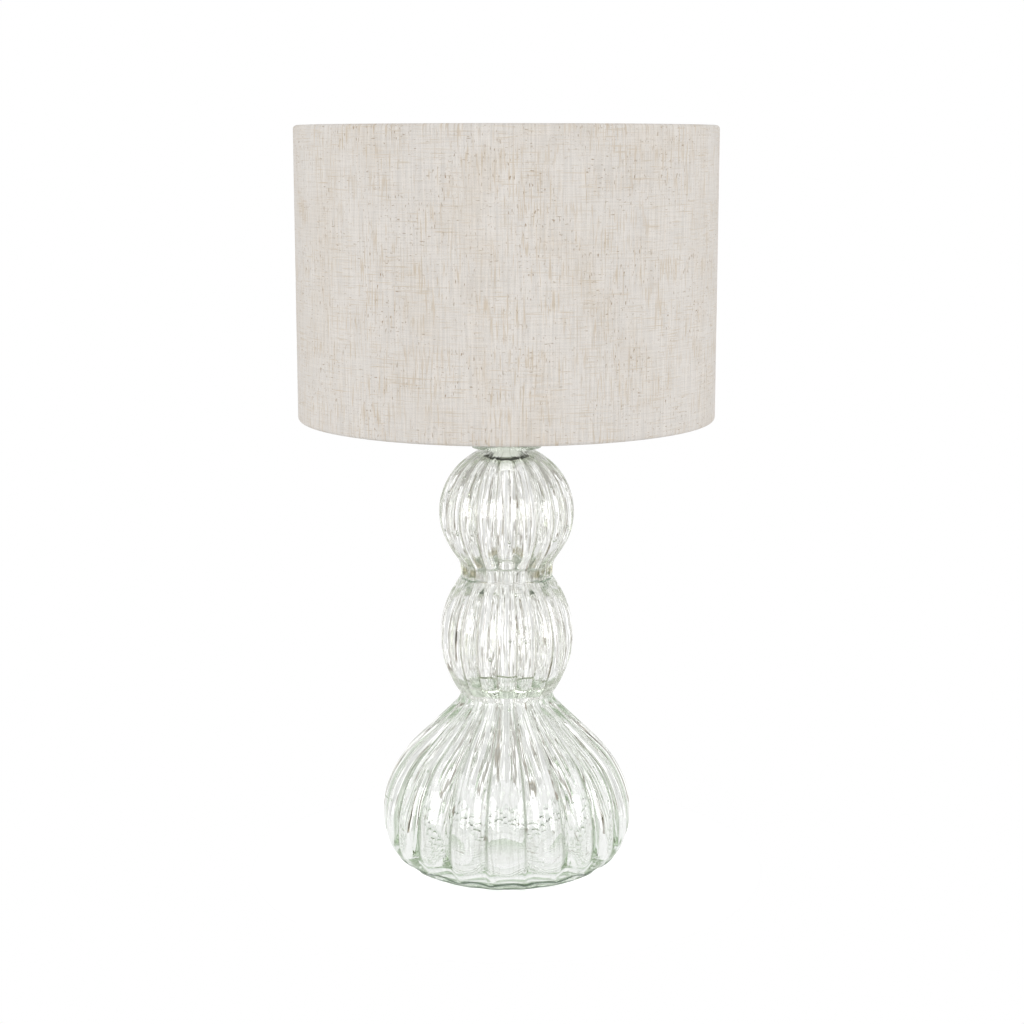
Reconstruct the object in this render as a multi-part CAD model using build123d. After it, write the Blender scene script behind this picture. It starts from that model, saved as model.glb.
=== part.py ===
from build123d import *
from math import acos, asin, atan, cos, degrees, hypot, pi, radians, sin, sqrt, tan
import os

os.makedirs("parts", exist_ok=True)

# Table lamp: three fluted clear glass globes bonded in a stack, a screw lampholder held in the glass
# neck by a rubber plug, and a linen drum shade clamped on the lampholder.
# Millimetres, +Z up, origin on the lamp's axis at the surface that it stands on, cord entry towards +Y.

# ---- glass: outside -------------------------------------------------------------------------------
FLUTES = 20                  # lobes round each globe, with a sharp valley between two lobes
FLUTE_DEPTH = 0.045          # valley depth as a part of the radius, at a globe's widest
FLUTE_DEPTH_AT_END = 0.022   # the same at a globe's ends, where the lobes run out
FOOT_RADIUS = 46.0           # flat ring that the lamp stands on
BELLY_RADIUS = 107.7         # lower globe at its widest
BELLY_HEIGHT = 47.0          # of the widest place above the foot
BELLY_FULLNESS = 2.4         # exponent of the rounded corner between foot and belly, 2 is an ellipse
SHOULDER_SLOPE = 1.04        # outward run of the lower globe's straight shoulder per unit of drop
SHOULDER_END_RADIUS = 34.6   # where that straight shoulder would meet the waist plane
LOWER_HEIGHT = 154.5         # foot to the lower seam
WAIST_RADIUS = 39.2          # all three globes where they are bonded
MIDDLE_RADIUS = 57.0
MIDDLE_HEIGHT = 103.0        # seam to seam
UPPER_RADIUS = 57.4
UPPER_CENTRE = 56.0          # of the upper globe's sphere above the upper seam
NECK_RADIUS = 20.5           # under the lip
LIP_RADIUS = 29.5
LIP_THICKNESS = 3.4
LIP_FLARE = 1.8              # height in which the lip flares out from the neck
BLEND_SHARPNESS = 14         # exponent of the hollow that joins a globe to its waist

# ---- glass: inside --------------------------------------------------------------------------------
GLASS_WALL = 2.6             # under a valley, halfway up a globe
RIM_WALL = 8.0               # under a valley, at the bonded rims
FOOT_WALL = 11.0             # floor of the lower globe
PUNT_RADIUS = 33.0           # hollow under the foot
PUNT_DEPTH = 3.5
NECK_BORE_RADIUS = 13.5

# ---- neck fittings --------------------------------------------------------------------------------
TUBE_RADIUS = 5.0            # M10 threaded tube
TUBE_BORE_RADIUS = 3.4
PLUG_LENGTH = 14.0           # below the lip
PLUG_FLANGE_RADIUS = 18.0
PLUG_FLANGE = 2.5
WASHER_RADIUS = 12.0
WASHER_THICKNESS = 1.5
NUT_ACROSS_FLATS = 17.0
NUT_HEIGHT = 4.0
TUBE_PROUD_OF_NUT = 2.0
CAP_RADIUS = 24.0            # metal cover on the glass neck
CAP_HEIGHT = 8.5
CAP_TOP_RADIUS = 14.0
CAP_EDGE = 2.0               # straight rim of that cover

# ---- cord entry -----------------------------------------------------------------------------------
ENTRY_RADIUS = 11.5          # hollow coupler with the side port for the cord
ENTRY_HEIGHT = 16.0
ENTRY_WALL = 3.0
ENTRY_END_WALL = 4.0
PORT_RADIUS = 4.5
GLAND_FLANGE_RADIUS = 6.4
GLAND_FLANGE = 3.0
GLAND_BORE_RADIUS = 3.3      # takes a 6 mm round cord
NIPPLE_ENGAGEMENT = 4.0      # of the upper nipple in the coupler and in the lampholder

# ---- E27 lampholder -------------------------------------------------------------------------------
HOLDER_RADIUS = 19.7         # outside thread for the shade ring
HOLDER_CAP_HEIGHT = 16.0
HOLDER_CAP_FOOT_RADIUS = 13.5
HOLDER_CAP_WALL = 1.9
HOLDER_CAP_FLOOR = 4.0
BLOCK_HEIGHT = 8.0           # broad part of the contact block
BOSS_RADIUS = 14.8
BOSS_HEIGHT = 8.0
SKIRT_BORE_RADIUS = 15.2
SKIRT_HEIGHT = 38.0
SEAT_RADIUS = 26.0           # shoulder that carries the shade
SEAT_THICKNESS = 3.0
SEAT_HEIGHT = 2.0            # of the shoulder's underside above the skirt's lower end
SHELL_HEIGHT = 23.0
SHELL_WALL = 0.6
SHELL_HOLE_RADIUS = 8.0
CONTACT_WIDTH = 5.0          # centre contact, a bent spring strip
CONTACT_THICKNESS = 0.6
CONTACT_RISE = 3.0
CONTACT_REACH = 6.0
TERMINAL_SPACING = 20.0
TERMINAL_SHANK_RADIUS = 1.5
TERMINAL_SHANK = 6.0
TERMINAL_HEAD_RADIUS = 2.7
TERMINAL_HEAD = 2.0
TERMINAL_SLOT = 0.7

# ---- shade ring -----------------------------------------------------------------------------------
RING_RADIUS = 28.0
RING_HEIGHT = 8.5
RING_LIP_RADIUS = 30.0
RING_LIP_HEIGHT = 2.5
RING_GRIPS = 24
RING_GRIP_RADIUS = 1.2

# ---- bulb -----------------------------------------------------------------------------------------
BULB_CAP_RADIUS = 13.2       # E27 screw cap
BULB_CAP_HEIGHT = 22.0
BULB_CAP_WALL = 0.5
EYELET_RADIUS = 4.6
EYELET_HEIGHT = 1.4
INSULATOR_HEIGHT = 2.8
HOUSING_NECK_RADIUS = 13.6
HOUSING_RADIUS = 28.0
HOUSING_HEIGHT = 41.0
HOUSING_COLLAR = 3.0         # straight part above the screw cap
HOUSING_PLUG = 8.0           # depth that it reaches into the screw cap
BULB_RADIUS = 30.0
BULB_LENGTH = 110.0
BULB_WALL = 1.2

# ---- shade ----------------------------------------------------------------------------------------
SHADE_RADIUS = 175.0
SHADE_HEIGHT = 242.0
SHADE_DROP = 23.8            # of the lower edge below the shoulder that carries the shade
LINEN_THICKNESS = 0.8
LINER_THICKNESS = 0.5
WIRE_RADIUS = 1.9            # top and bottom rings
WIRE_SIDES = 16              # flats that stand for the wire's round
HEM_WRAP = 220.0             # degrees that the linen is rolled round a ring
SPOKES = 3
FIRST_SPOKE = 90.0           # its direction, towards the back
SPOKE_RADIUS = 1.3
SPOKE_BEND = 9.0
SPOKE_LAP = 4.0              # length of a spoke that lies on the washer
CARRIER_RADIUS = 27.0        # washer in the middle of the spokes
CARRIER_THICKNESS = 1.4

# ---- fits -----------------------------------------------------------------------------------------
RUNNING = 0.08               # radial, between threads and the parts that turn on them
SEATED = 0.10                # radial, between fixed parts
TURNING_GAP = 0.30           # between the shade's washer and what doesn't turn with it
LOOSE = 0.60                 # radial, shade washer round the lampholder
HEM_CLEARANCE = 0.30         # between the linen and the wire that it is rolled round

# ---- heights that follow --------------------------------------------------------------------------
UPPER_SEAM = LOWER_HEIGHT + MIDDLE_HEIGHT
UPPER_MIDDLE = UPPER_SEAM + UPPER_CENTRE
NECK_HEIGHT = UPPER_MIDDLE + sqrt(UPPER_RADIUS**2 - NECK_RADIUS**2)
LIP_TOP = NECK_HEIGHT + LIP_FLARE + LIP_THICKNESS
ENTRY_BOTTOM = LIP_TOP + CAP_HEIGHT
ENTRY_TOP = ENTRY_BOTTOM + ENTRY_HEIGHT
PORT_HEIGHT = ENTRY_BOTTOM + ENTRY_HEIGHT / 2
BLOCK_BOTTOM = ENTRY_TOP + HOLDER_CAP_HEIGHT - BLOCK_HEIGHT
SKIRT_BOTTOM = ENTRY_TOP + HOLDER_CAP_HEIGHT
BOSS_TOP = SKIRT_BOTTOM + BOSS_HEIGHT
SKIRT_TOP = SKIRT_BOTTOM + SKIRT_HEIGHT
SEAT_TOP = SKIRT_BOTTOM + SEAT_HEIGHT + SEAT_THICKNESS
CARRIER_TOP = SEAT_TOP + CARRIER_THICKNESS
RING_BOTTOM = CARRIER_TOP + TURNING_GAP
BULB_BOTTOM = BOSS_TOP + CONTACT_RISE + SEATED
BULB_CAP_BOTTOM = BULB_BOTTOM + EYELET_HEIGHT + INSULATOR_HEIGHT
BULB_CAP_TOP = BULB_CAP_BOTTOM + BULB_CAP_HEIGHT
HOUSING_TOP = BULB_CAP_TOP + HOUSING_HEIGHT
BULB_TOP = BULB_BOTTOM + BULB_LENGTH
HEM_RADIUS = WIRE_RADIUS + HEM_CLEARANCE + LINEN_THICKNESS
WIRE_CIRCLE = SHADE_RADIUS - HEM_RADIUS
LOW_WIRE = SEAT_TOP - SHADE_DROP + HEM_RADIUS
HIGH_WIRE = LOW_WIRE + SHADE_HEIGHT - 2 * HEM_RADIUS


# ---- helpers --------------------------------------------------------------------------------------
def disc(radius, low, high, hole=0.0):
    """Round solid on the axis from one height to another, with an optional hole through it."""
    body = Pos(0, 0, low) * Cylinder(radius, high - low, align=(Align.CENTER, Align.CENTER, Align.MIN))
    if hole:
        body -= Pos(0, 0, low) * Cylinder(hole, high - low, align=(Align.CENTER, Align.CENTER, Align.MIN))
    return body


def turned(*corners):
    """Solid turned about the axis from a closed outline of (radius, height) corners."""
    outline = Polyline(*[(radius, 0, height) for radius, height in corners], close=True)
    return revolve(make_face(outline), Axis.Z)


def around(piece, count, start=0.0):
    """Copies of a piece evenly spaced about the axis."""
    return [Rot(0, 0, start + 360 * index / count) * piece for index in range(count)]


def soft_larger(one, other):
    """The larger of two radii, with a hollow blend where they are alike."""
    return (one**BLEND_SHARPNESS + other**BLEND_SHARPNESS) ** (1 / BLEND_SHARPNESS)


# ---- glass profiles: lists of (radius, height) from bottom to top ---------------------------------
def lower_profile():
    """Squat onion shape: foot, round belly, straight shoulder and hollow run into the waist."""
    power = 2 / BELLY_FULLNESS
    spread = BELLY_RADIUS - FOOT_RADIUS
    points = []
    for angle in (90, 82, 70, 57, 43, 29, 15):
        reach = cos(radians(angle)) ** power if angle < 90 else 0.0
        drop = sin(radians(angle)) ** power
        points.append((FOOT_RADIUS + spread * reach, BELLY_HEIGHT * (1 - drop)))
    # The shoulder line and the belly's vertical tangent meet at a corner, rounded by one arc.
    corner = LOWER_HEIGHT - (BELLY_RADIUS - SHOULDER_END_RADIUS) / SHOULDER_SLOPE
    lean = atan(SHOULDER_SLOPE)
    arc_radius = (corner - BELLY_HEIGHT) / tan(lean / 2)
    for share in (0, 0.25, 0.5, 0.75, 1):
        turn = lean * share
        points.append((BELLY_RADIUS - arc_radius * (1 - cos(turn)), BELLY_HEIGHT + arc_radius * sin(turn)))
    arc_end = points[-1][1]
    for share in (0.25, 0.5, 0.72, 0.88, 1):
        height = arc_end + (LOWER_HEIGHT - arc_end) * share
        line = SHOULDER_END_RADIUS + SHOULDER_SLOPE * (LOWER_HEIGHT - height)
        points.append((soft_larger(line, WAIST_RADIUS), height))
    points[-1] = (WAIST_RADIUS, LOWER_HEIGHT)
    return points


def middle_profile():
    """Barrel whose side is one arc from waist to waist."""
    half = MIDDLE_HEIGHT / 2
    bulge = MIDDLE_RADIUS - WAIST_RADIUS
    arc_radius = (half**2 + bulge**2) / (2 * bulge)
    points = []
    for share in (-1, -0.8, -0.55, -0.28, 0, 0.28, 0.55, 0.8, 1):
        offset = half * share
        radius = MIDDLE_RADIUS - arc_radius + sqrt(arc_radius**2 - offset**2)
        points.append((radius, LOWER_HEIGHT + half + offset))
    return points


def upper_profile():
    """Sphere that runs down into a short straight collar and up to the neck."""
    top = degrees(acos(NECK_RADIUS / UPPER_RADIUS))
    bottom = degrees(asin(UPPER_CENTRE / UPPER_RADIUS))
    points = [(WAIST_RADIUS, UPPER_SEAM)]
    for share in (0.08, 0.22, 0.36, 0.5, 0.64, 0.78, 0.9):
        angle = -bottom * (1 - share) + top * share
        sphere = UPPER_RADIUS * cos(radians(angle))
        height = UPPER_MIDDLE + UPPER_RADIUS * sin(radians(angle))
        points.append((soft_larger(sphere, WAIST_RADIUS) if angle < 0 else sphere, height))
    points.append((NECK_RADIUS, NECK_HEIGHT))
    return points


def place_along(profile):
    """How far along the profile each of its points lies, from 0 to 1."""
    lengths = [0.0]
    for before, after in zip(profile, profile[1:]):
        lengths.append(lengths[-1] + hypot(after[0] - before[0], after[1] - before[1]))
    return [length / lengths[-1] for length in lengths]


def flute_depth(place):
    """Valley depth as a part of the radius: most at the profile's middle and least at its ends."""
    swell = sin(pi * place) ** 0.6 if 0 < place < 1 else 0.0
    return FLUTE_DEPTH_AT_END + (FLUTE_DEPTH - FLUTE_DEPTH_AT_END) * swell


def fluted_outline(radius, height, depth):
    """Closed ring of round lobes that meet in valleys, at one height."""
    step = 360 / FLUTES
    lobes = []
    for index in range(FLUTES):
        crest = index * step
        ends = [(radius * (1 - depth), crest + side * step / 2) for side in (-1, 1)]
        places = [ends[0], (radius, crest), ends[1]]
        lobes.append(ThreePointArc(*[
            (reach * cos(radians(angle)), reach * sin(radians(angle)), height) for reach, angle in places
        ]))
    return make_face(lobes)


def fluted_solid(profile):
    """Solid with the profile's outside, fluted from end to end."""
    sections = []
    for (radius, height), place in zip(profile, place_along(profile)):
        sections.append(fluted_outline(radius, height, flute_depth(place)))
    return loft(sections)


def cavity(profile, low_wall, high_wall, low_open=True):
    """Smooth hollow inside a profile, one wall in from its valleys, and open through the ends."""
    inner = []
    last = len(profile) - 1
    for index, place in enumerate(place_along(profile)):
        before = profile[max(index - 1, 0)]
        after = profile[min(index + 1, last)]
        run, rise = after[0] - before[0], after[1] - before[1]
        radius, height = profile[index]
        end_wall = low_wall if place < 0.5 else high_wall
        wall = GLASS_WALL + (end_wall - GLASS_WALL) * abs(2 * place - 1) ** 3
        wall += flute_depth(place) * radius
        length = hypot(run, rise)
        inner.append((radius - wall * rise / length, height + wall * run / length))
    if low_open:
        inner[0] = (inner[0][0], profile[0][1])
    inner[-1] = (inner[-1][0], profile[-1][1])
    low = inner[0][1] - (1 if low_open else 0)
    high = inner[-1][1] + 1
    side = Spline(*[(radius, 0, height) for radius, height in inner])
    edges = [side]
    if low_open:
        edges.append(Line((inner[0][0], 0, low), side @ 0))
    edges.append(Line(side @ 1, (inner[-1][0], 0, high)))
    edges.append(Line((inner[-1][0], 0, high), (0, 0, high)))
    edges.append(Line((0, 0, high), (0, 0, low)))
    edges.append(Line((0, 0, low), (inner[0][0], 0, low)))
    return revolve(make_face(edges), Axis.Z)


# ---- glass ----------------------------------------------------------------------------------------
def make_lower_globe():
    profile = lower_profile()
    punt = Pos(0, 0, PUNT_DEPTH - (PUNT_RADIUS**2 + PUNT_DEPTH**2) / (2 * PUNT_DEPTH))
    punt *= Sphere((PUNT_RADIUS**2 + PUNT_DEPTH**2) / (2 * PUNT_DEPTH))
    return fluted_solid(profile) - cavity(profile, FOOT_WALL, RIM_WALL, low_open=False) - punt


def make_middle_globe():
    profile = middle_profile()
    return fluted_solid(profile) - cavity(profile, RIM_WALL, RIM_WALL)


def make_upper_globe():
    profile = upper_profile()
    core = NECK_RADIUS * (1 - FLUTE_DEPTH_AT_END) - SEATED
    flare = NECK_HEIGHT + LIP_FLARE
    low = NECK_HEIGHT - LIP_FLARE
    edges = [
        Line((0, 0, low), (core, 0, low)),
        Line((core, 0, low), (core, 0, NECK_HEIGHT)),
        ThreePointArc(
            (core, 0, NECK_HEIGHT),
            (core + (LIP_RADIUS - core) * 0.4, 0, NECK_HEIGHT + LIP_FLARE * 0.65),
            (LIP_RADIUS, 0, flare),
        ),
        Line((LIP_RADIUS, 0, flare), (LIP_RADIUS, 0, LIP_TOP)),
        Line((LIP_RADIUS, 0, LIP_TOP), (0, 0, LIP_TOP)),
        Line((0, 0, LIP_TOP), (0, 0, low)),
    ]
    lip = revolve(make_face(edges), Axis.Z)
    rim = lip.edges().group_by(Axis.Z)[-1]
    lip = fillet(rim, LIP_THICKNESS * 0.45)
    glass = fluted_solid(profile) + lip
    neck_wall = NECK_RADIUS - NECK_BORE_RADIUS
    glass -= cavity(profile, RIM_WALL, neck_wall - FLUTE_DEPTH_AT_END * NECK_RADIUS)
    return glass - disc(NECK_BORE_RADIUS, NECK_HEIGHT - neck_wall, LIP_TOP + 1)


# ---- neck fittings --------------------------------------------------------------------------------
def make_neck_plug():
    stem = disc(NECK_BORE_RADIUS - SEATED, LIP_TOP - PLUG_LENGTH, LIP_TOP)
    flange = disc(PLUG_FLANGE_RADIUS, LIP_TOP, LIP_TOP + PLUG_FLANGE)
    bore = disc(TUBE_RADIUS + SEATED, LIP_TOP - PLUG_LENGTH - 1, LIP_TOP + PLUG_FLANGE + 1)
    return stem + flange - bore


def make_plug_washer():
    top = LIP_TOP - PLUG_LENGTH
    return disc(WASHER_RADIUS, top - WASHER_THICKNESS, top, hole=TUBE_RADIUS + SEATED)


def make_plug_nut():
    top = LIP_TOP - PLUG_LENGTH - WASHER_THICKNESS
    across_corners = NUT_ACROSS_FLATS / cos(pi / 6)
    hexagon = Pos(0, 0, top - NUT_HEIGHT) * extrude(
        RegularPolygon(across_corners / 2, 6), NUT_HEIGHT
    )
    return hexagon - disc(TUBE_RADIUS + SEATED, top - NUT_HEIGHT - 1, top + 1)


def make_threaded_tube():
    nut_bottom = LIP_TOP - PLUG_LENGTH - WASHER_THICKNESS - NUT_HEIGHT
    return disc(TUBE_RADIUS, nut_bottom - TUBE_PROUD_OF_NUT, ENTRY_BOTTOM + ENTRY_END_WALL,
                hole=TUBE_BORE_RADIUS)


def make_neck_cap():
    cover = turned(
        (TUBE_RADIUS + SEATED, LIP_TOP), (CAP_RADIUS, LIP_TOP), (CAP_RADIUS, LIP_TOP + CAP_EDGE),
        (CAP_TOP_RADIUS, ENTRY_BOTTOM), (TUBE_RADIUS + SEATED, ENTRY_BOTTOM),
    )
    return cover - disc(PLUG_FLANGE_RADIUS + SEATED, LIP_TOP, LIP_TOP + PLUG_FLANGE)


# ---- cord entry -----------------------------------------------------------------------------------
def make_cord_entry():
    body = disc(ENTRY_RADIUS, ENTRY_BOTTOM, ENTRY_TOP)
    rims = body.edges().filter_by(GeomType.CIRCLE)
    body = chamfer(rims, 0.8)
    chamber = disc(ENTRY_RADIUS - ENTRY_WALL, ENTRY_BOTTOM + ENTRY_END_WALL, ENTRY_TOP - ENTRY_END_WALL)
    bore = disc(TUBE_RADIUS + SEATED, ENTRY_BOTTOM, ENTRY_TOP)
    port = Pos(0, 0, PORT_HEIGHT) * Rot(-90, 0, 0) * Cylinder(
        PORT_RADIUS, ENTRY_RADIUS + 1, align=(Align.CENTER, Align.CENTER, Align.MIN)
    )
    return body - chamber - bore - port


def make_cord_gland():
    length = ENTRY_WALL + GLAND_FLANGE
    start = ENTRY_RADIUS - ENTRY_WALL
    stem = Cylinder(PORT_RADIUS - SEATED, length, align=(Align.CENTER, Align.CENTER, Align.MIN))
    flange = Pos(0, 0, ENTRY_WALL) * Cylinder(
        GLAND_FLANGE_RADIUS, GLAND_FLANGE, align=(Align.CENTER, Align.CENTER, Align.MIN)
    )
    outer_rim = flange.edges().filter_by(GeomType.CIRCLE).sort_by(Axis.Z)[-1]
    flange = fillet(outer_rim, GLAND_FLANGE * 0.5)
    bore = Cylinder(GLAND_BORE_RADIUS, 2 * length, align=(Align.CENTER, Align.CENTER, Align.CENTER))
    bush = stem + flange - Pos(0, 0, length / 2) * bore
    return Pos(0, start, PORT_HEIGHT) * Rot(-90, 0, 0) * bush


def make_holder_nipple():
    return disc(TUBE_RADIUS, ENTRY_TOP - NIPPLE_ENGAGEMENT, ENTRY_TOP + NIPPLE_ENGAGEMENT,
                hole=TUBE_BORE_RADIUS)


# ---- lampholder -----------------------------------------------------------------------------------
def make_lampholder_cap():
    top = SKIRT_BOTTOM
    inner = HOLDER_RADIUS - HOLDER_CAP_WALL
    outside = turned(
        (0, ENTRY_TOP), (HOLDER_CAP_FOOT_RADIUS, ENTRY_TOP), (HOLDER_RADIUS, BLOCK_BOTTOM - 1),
        (HOLDER_RADIUS, top), (0, top),
    )
    pocket = disc(inner, BLOCK_BOTTOM, top)
    wiring_space = disc(TERMINAL_SPACING / 2 + TERMINAL_HEAD_RADIUS + 1,
                        ENTRY_TOP + HOLDER_CAP_FLOOR, BLOCK_BOTTOM)
    return outside - pocket - wiring_space - disc(TUBE_RADIUS + SEATED, ENTRY_TOP - 1, BLOCK_BOTTOM)


def terminal_places():
    """Both terminal screws, each side of the axis."""
    return [Pos(side * TERMINAL_SPACING / 2, 0, BLOCK_BOTTOM) for side in (-1, 1)]


def make_contact_block():
    broad = disc(HOLDER_RADIUS - HOLDER_CAP_WALL - SEATED, BLOCK_BOTTOM, SKIRT_BOTTOM)
    boss = disc(BOSS_RADIUS, SKIRT_BOTTOM, BOSS_TOP)
    block = broad + boss - disc(TUBE_BORE_RADIUS, BLOCK_BOTTOM - 1, BLOCK_BOTTOM + BLOCK_HEIGHT / 2)
    for place in terminal_places():
        block -= place * Cylinder(TERMINAL_SHANK_RADIUS + SEATED, TERMINAL_SHANK,
                                  align=(Align.CENTER, Align.CENTER, Align.MIN))
    return block


def make_terminal_screws():
    screw = Cylinder(TERMINAL_SHANK_RADIUS, TERMINAL_SHANK, align=(Align.CENTER, Align.CENTER, Align.MIN))
    screw += Cylinder(TERMINAL_HEAD_RADIUS, TERMINAL_HEAD, align=(Align.CENTER, Align.CENTER, Align.MAX))
    screw -= Pos(0, 0, -TERMINAL_HEAD) * Box(2 * TERMINAL_HEAD_RADIUS, TERMINAL_SLOT, TERMINAL_SLOT)
    return Compound([place * screw for place in terminal_places()])


def make_screw_shell():
    bore = BULB_CAP_RADIUS + RUNNING
    tube = disc(bore + SHELL_WALL, BOSS_TOP, BOSS_TOP + SHELL_HEIGHT, hole=bore)
    return tube + disc(bore + SHELL_WALL / 2, BOSS_TOP, BOSS_TOP + SHELL_WALL, hole=SHELL_HOLE_RADIUS)


def make_centre_contact():
    """Spring strip: a foot on the block, a rise and a flat tongue under the bulb."""
    reach, rise, thick = CONTACT_REACH, CONTACT_RISE, CONTACT_THICKNESS
    side = Polyline(
        (-reach, 0, 0), (-reach + 2.5, 0, 0), (-1.8, 0, rise - thick), (2.2, 0, rise - thick),
        (2.2, 0, rise), (-2.1, 0, rise), (-reach + 2.2, 0, thick), (-reach, 0, thick), close=True,
    )
    strip = extrude(make_face(side), CONTACT_WIDTH / 2, dir=(0, 1, 0), both=True)
    return Pos(0, 0, BOSS_TOP) * Rot(0, 0, 90) * strip


def make_lampholder_skirt():
    tube = disc(HOLDER_RADIUS, SKIRT_BOTTOM, SKIRT_TOP)
    seat = disc(SEAT_RADIUS, SEAT_TOP - SEAT_THICKNESS, SEAT_TOP)
    seat = chamfer(seat.edges().group_by(Axis.Z)[0], SEAT_THICKNESS * 0.4)
    return tube + seat - disc(SKIRT_BORE_RADIUS, SKIRT_BOTTOM - 1, SKIRT_TOP + 1)


# ---- shade ring -----------------------------------------------------------------------------------
def make_shade_ring():
    body = disc(RING_RADIUS, RING_BOTTOM, RING_BOTTOM + RING_HEIGHT)
    body += disc(RING_LIP_RADIUS, RING_BOTTOM, RING_BOTTOM + RING_LIP_HEIGHT)
    grip = Pos(RING_RADIUS + RING_GRIP_RADIUS * 0.3, 0, RING_BOTTOM + RING_LIP_HEIGHT) * Cylinder(
        RING_GRIP_RADIUS, RING_HEIGHT, align=(Align.CENTER, Align.CENTER, Align.MIN)
    )
    for notch in around(grip, RING_GRIPS):
        body -= notch
    return body - disc(HOLDER_RADIUS + RUNNING, RING_BOTTOM - 1, RING_BOTTOM + RING_HEIGHT + 1)


# ---- bulb -----------------------------------------------------------------------------------------
def make_bulb_eyelet():
    return disc(EYELET_RADIUS, BULB_BOTTOM, BULB_BOTTOM + EYELET_HEIGHT)


def make_bulb_insulator():
    low, high = BULB_BOTTOM + EYELET_HEIGHT, BULB_CAP_BOTTOM
    return turned((0, low), (EYELET_RADIUS + 1, low), (BULB_CAP_RADIUS - 1.5, high), (0, high))


def make_bulb_screw_cap():
    outer, wall = BULB_CAP_RADIUS, BULB_CAP_WALL
    cup = disc(outer, BULB_CAP_BOTTOM, BULB_CAP_TOP)
    cup = chamfer(cup.edges().group_by(Axis.Z)[0], 1.4)
    return cup - disc(outer - wall, BULB_CAP_BOTTOM + 2, BULB_CAP_TOP + 1)


def make_bulb_housing():
    low, high = BULB_CAP_TOP, HOUSING_TOP
    plug = disc(BULB_CAP_RADIUS - BULB_CAP_WALL - SEATED, low - HOUSING_PLUG, low)
    side = ThreePointArc(
        (HOUSING_NECK_RADIUS, 0, low + HOUSING_COLLAR),
        ((HOUSING_NECK_RADIUS + HOUSING_RADIUS) / 2 - 2.2, 0, (low + high) / 2 + 2),
        (HOUSING_RADIUS, 0, high),
    )
    edges = [
        Line((0, 0, low), (HOUSING_NECK_RADIUS, 0, low)),
        Line((HOUSING_NECK_RADIUS, 0, low), side @ 0),
        side,
        Line(side @ 1, (0, 0, high)),
        Line((0, 0, high), (0, 0, low)),
    ]
    return revolve(make_face(edges), Axis.Z) + plug


def bulb_dome(inset, low):
    """Half of the bulb's glass outline: a sphere that narrows to the housing."""
    radius = BULB_RADIUS - inset
    centre = BULB_TOP - BULB_RADIUS
    start = asin((centre - low) / radius)
    side = ThreePointArc(
        (radius * cos(start), 0, low), (radius, 0, centre), (0, 0, centre + radius),
    )
    edges = [side, Line(side @ 1, (0, 0, low)), Line((0, 0, low), side @ 0)]
    return revolve(make_face(edges), Axis.Z)


def make_bulb_envelope():
    return bulb_dome(0, HOUSING_TOP) - bulb_dome(BULB_WALL, HOUSING_TOP)


# ---- shade ----------------------------------------------------------------------------------------
def make_shade_linen():
    """Drum wall whose edges are rolled over the wire rings."""
    outer, inner = HEM_RADIUS, HEM_RADIUS - LINEN_THICKNESS

    def rolled(radius, centre, sign):
        """Arc of the roll round one wire, from the drum's wall over the edge and inwards."""
        places = []
        for share in (0, 0.5, 1):
            angle = radians(HEM_WRAP * share)
            places.append((WIRE_CIRCLE + radius * cos(angle), 0, centre + sign * radius * sin(angle)))
        return ThreePointArc(*places)

    edges = []
    for centre, sign in ((HIGH_WIRE, 1), (LOW_WIRE, -1)):
        outside, inside = rolled(outer, centre, sign), rolled(inner, centre, sign)
        edges += [outside, inside, Line(outside @ 1, inside @ 1)]
    for radius in (outer, inner):
        edges.append(Line((WIRE_CIRCLE + radius, 0, LOW_WIRE), (WIRE_CIRCLE + radius, 0, HIGH_WIRE)))
    return revolve(make_face(edges), Axis.Z)


def make_shade_liner():
    outer = SHADE_RADIUS - LINEN_THICKNESS - SEATED / 2
    edge_gap = WIRE_RADIUS + HEM_CLEARANCE
    return disc(outer, LOW_WIRE + edge_gap, HIGH_WIRE - edge_gap, hole=outer - LINER_THICKNESS)


def wire_ring(height):
    """Ring of wire, its round section drawn with flats."""
    corners = []
    for side in range(WIRE_SIDES):
        angle = 2 * pi * (side + 0.5) / WIRE_SIDES
        corners.append((WIRE_CIRCLE + WIRE_RADIUS * cos(angle), height + WIRE_RADIUS * sin(angle)))
    return turned(*corners)


def make_top_ring():
    return wire_ring(HIGH_WIRE)


def make_shade_carrier():
    """Bottom ring, spokes and centre washer, welded into one piece."""
    level = SEAT_TOP + SPOKE_RADIUS
    run = FilletPolyline(
        (CARRIER_RADIUS - SPOKE_LAP, 0, level), (WIRE_CIRCLE, 0, level), (WIRE_CIRCLE, 0, LOW_WIRE),
        radius=SPOKE_BEND,
    )
    spoke = sweep(Plane(origin=run @ 0, z_dir=run % 0) * Circle(SPOKE_RADIUS), path=run)
    frame = wire_ring(LOW_WIRE)
    for copy in around(spoke, SPOKES, start=FIRST_SPOKE):
        frame += copy
    frame += disc(CARRIER_RADIUS, SEAT_TOP, CARRIER_TOP)
    hole = HOLDER_RADIUS + LOOSE
    # The ring that clamps the washer needs the spokes to end outside it.
    frame -= disc(RING_LIP_RADIUS + TURNING_GAP, CARRIER_TOP, CARRIER_TOP + 2 * SPOKE_RADIUS)
    return frame - disc(hole, SEAT_TOP - 1, CARRIER_TOP + 1)


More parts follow.
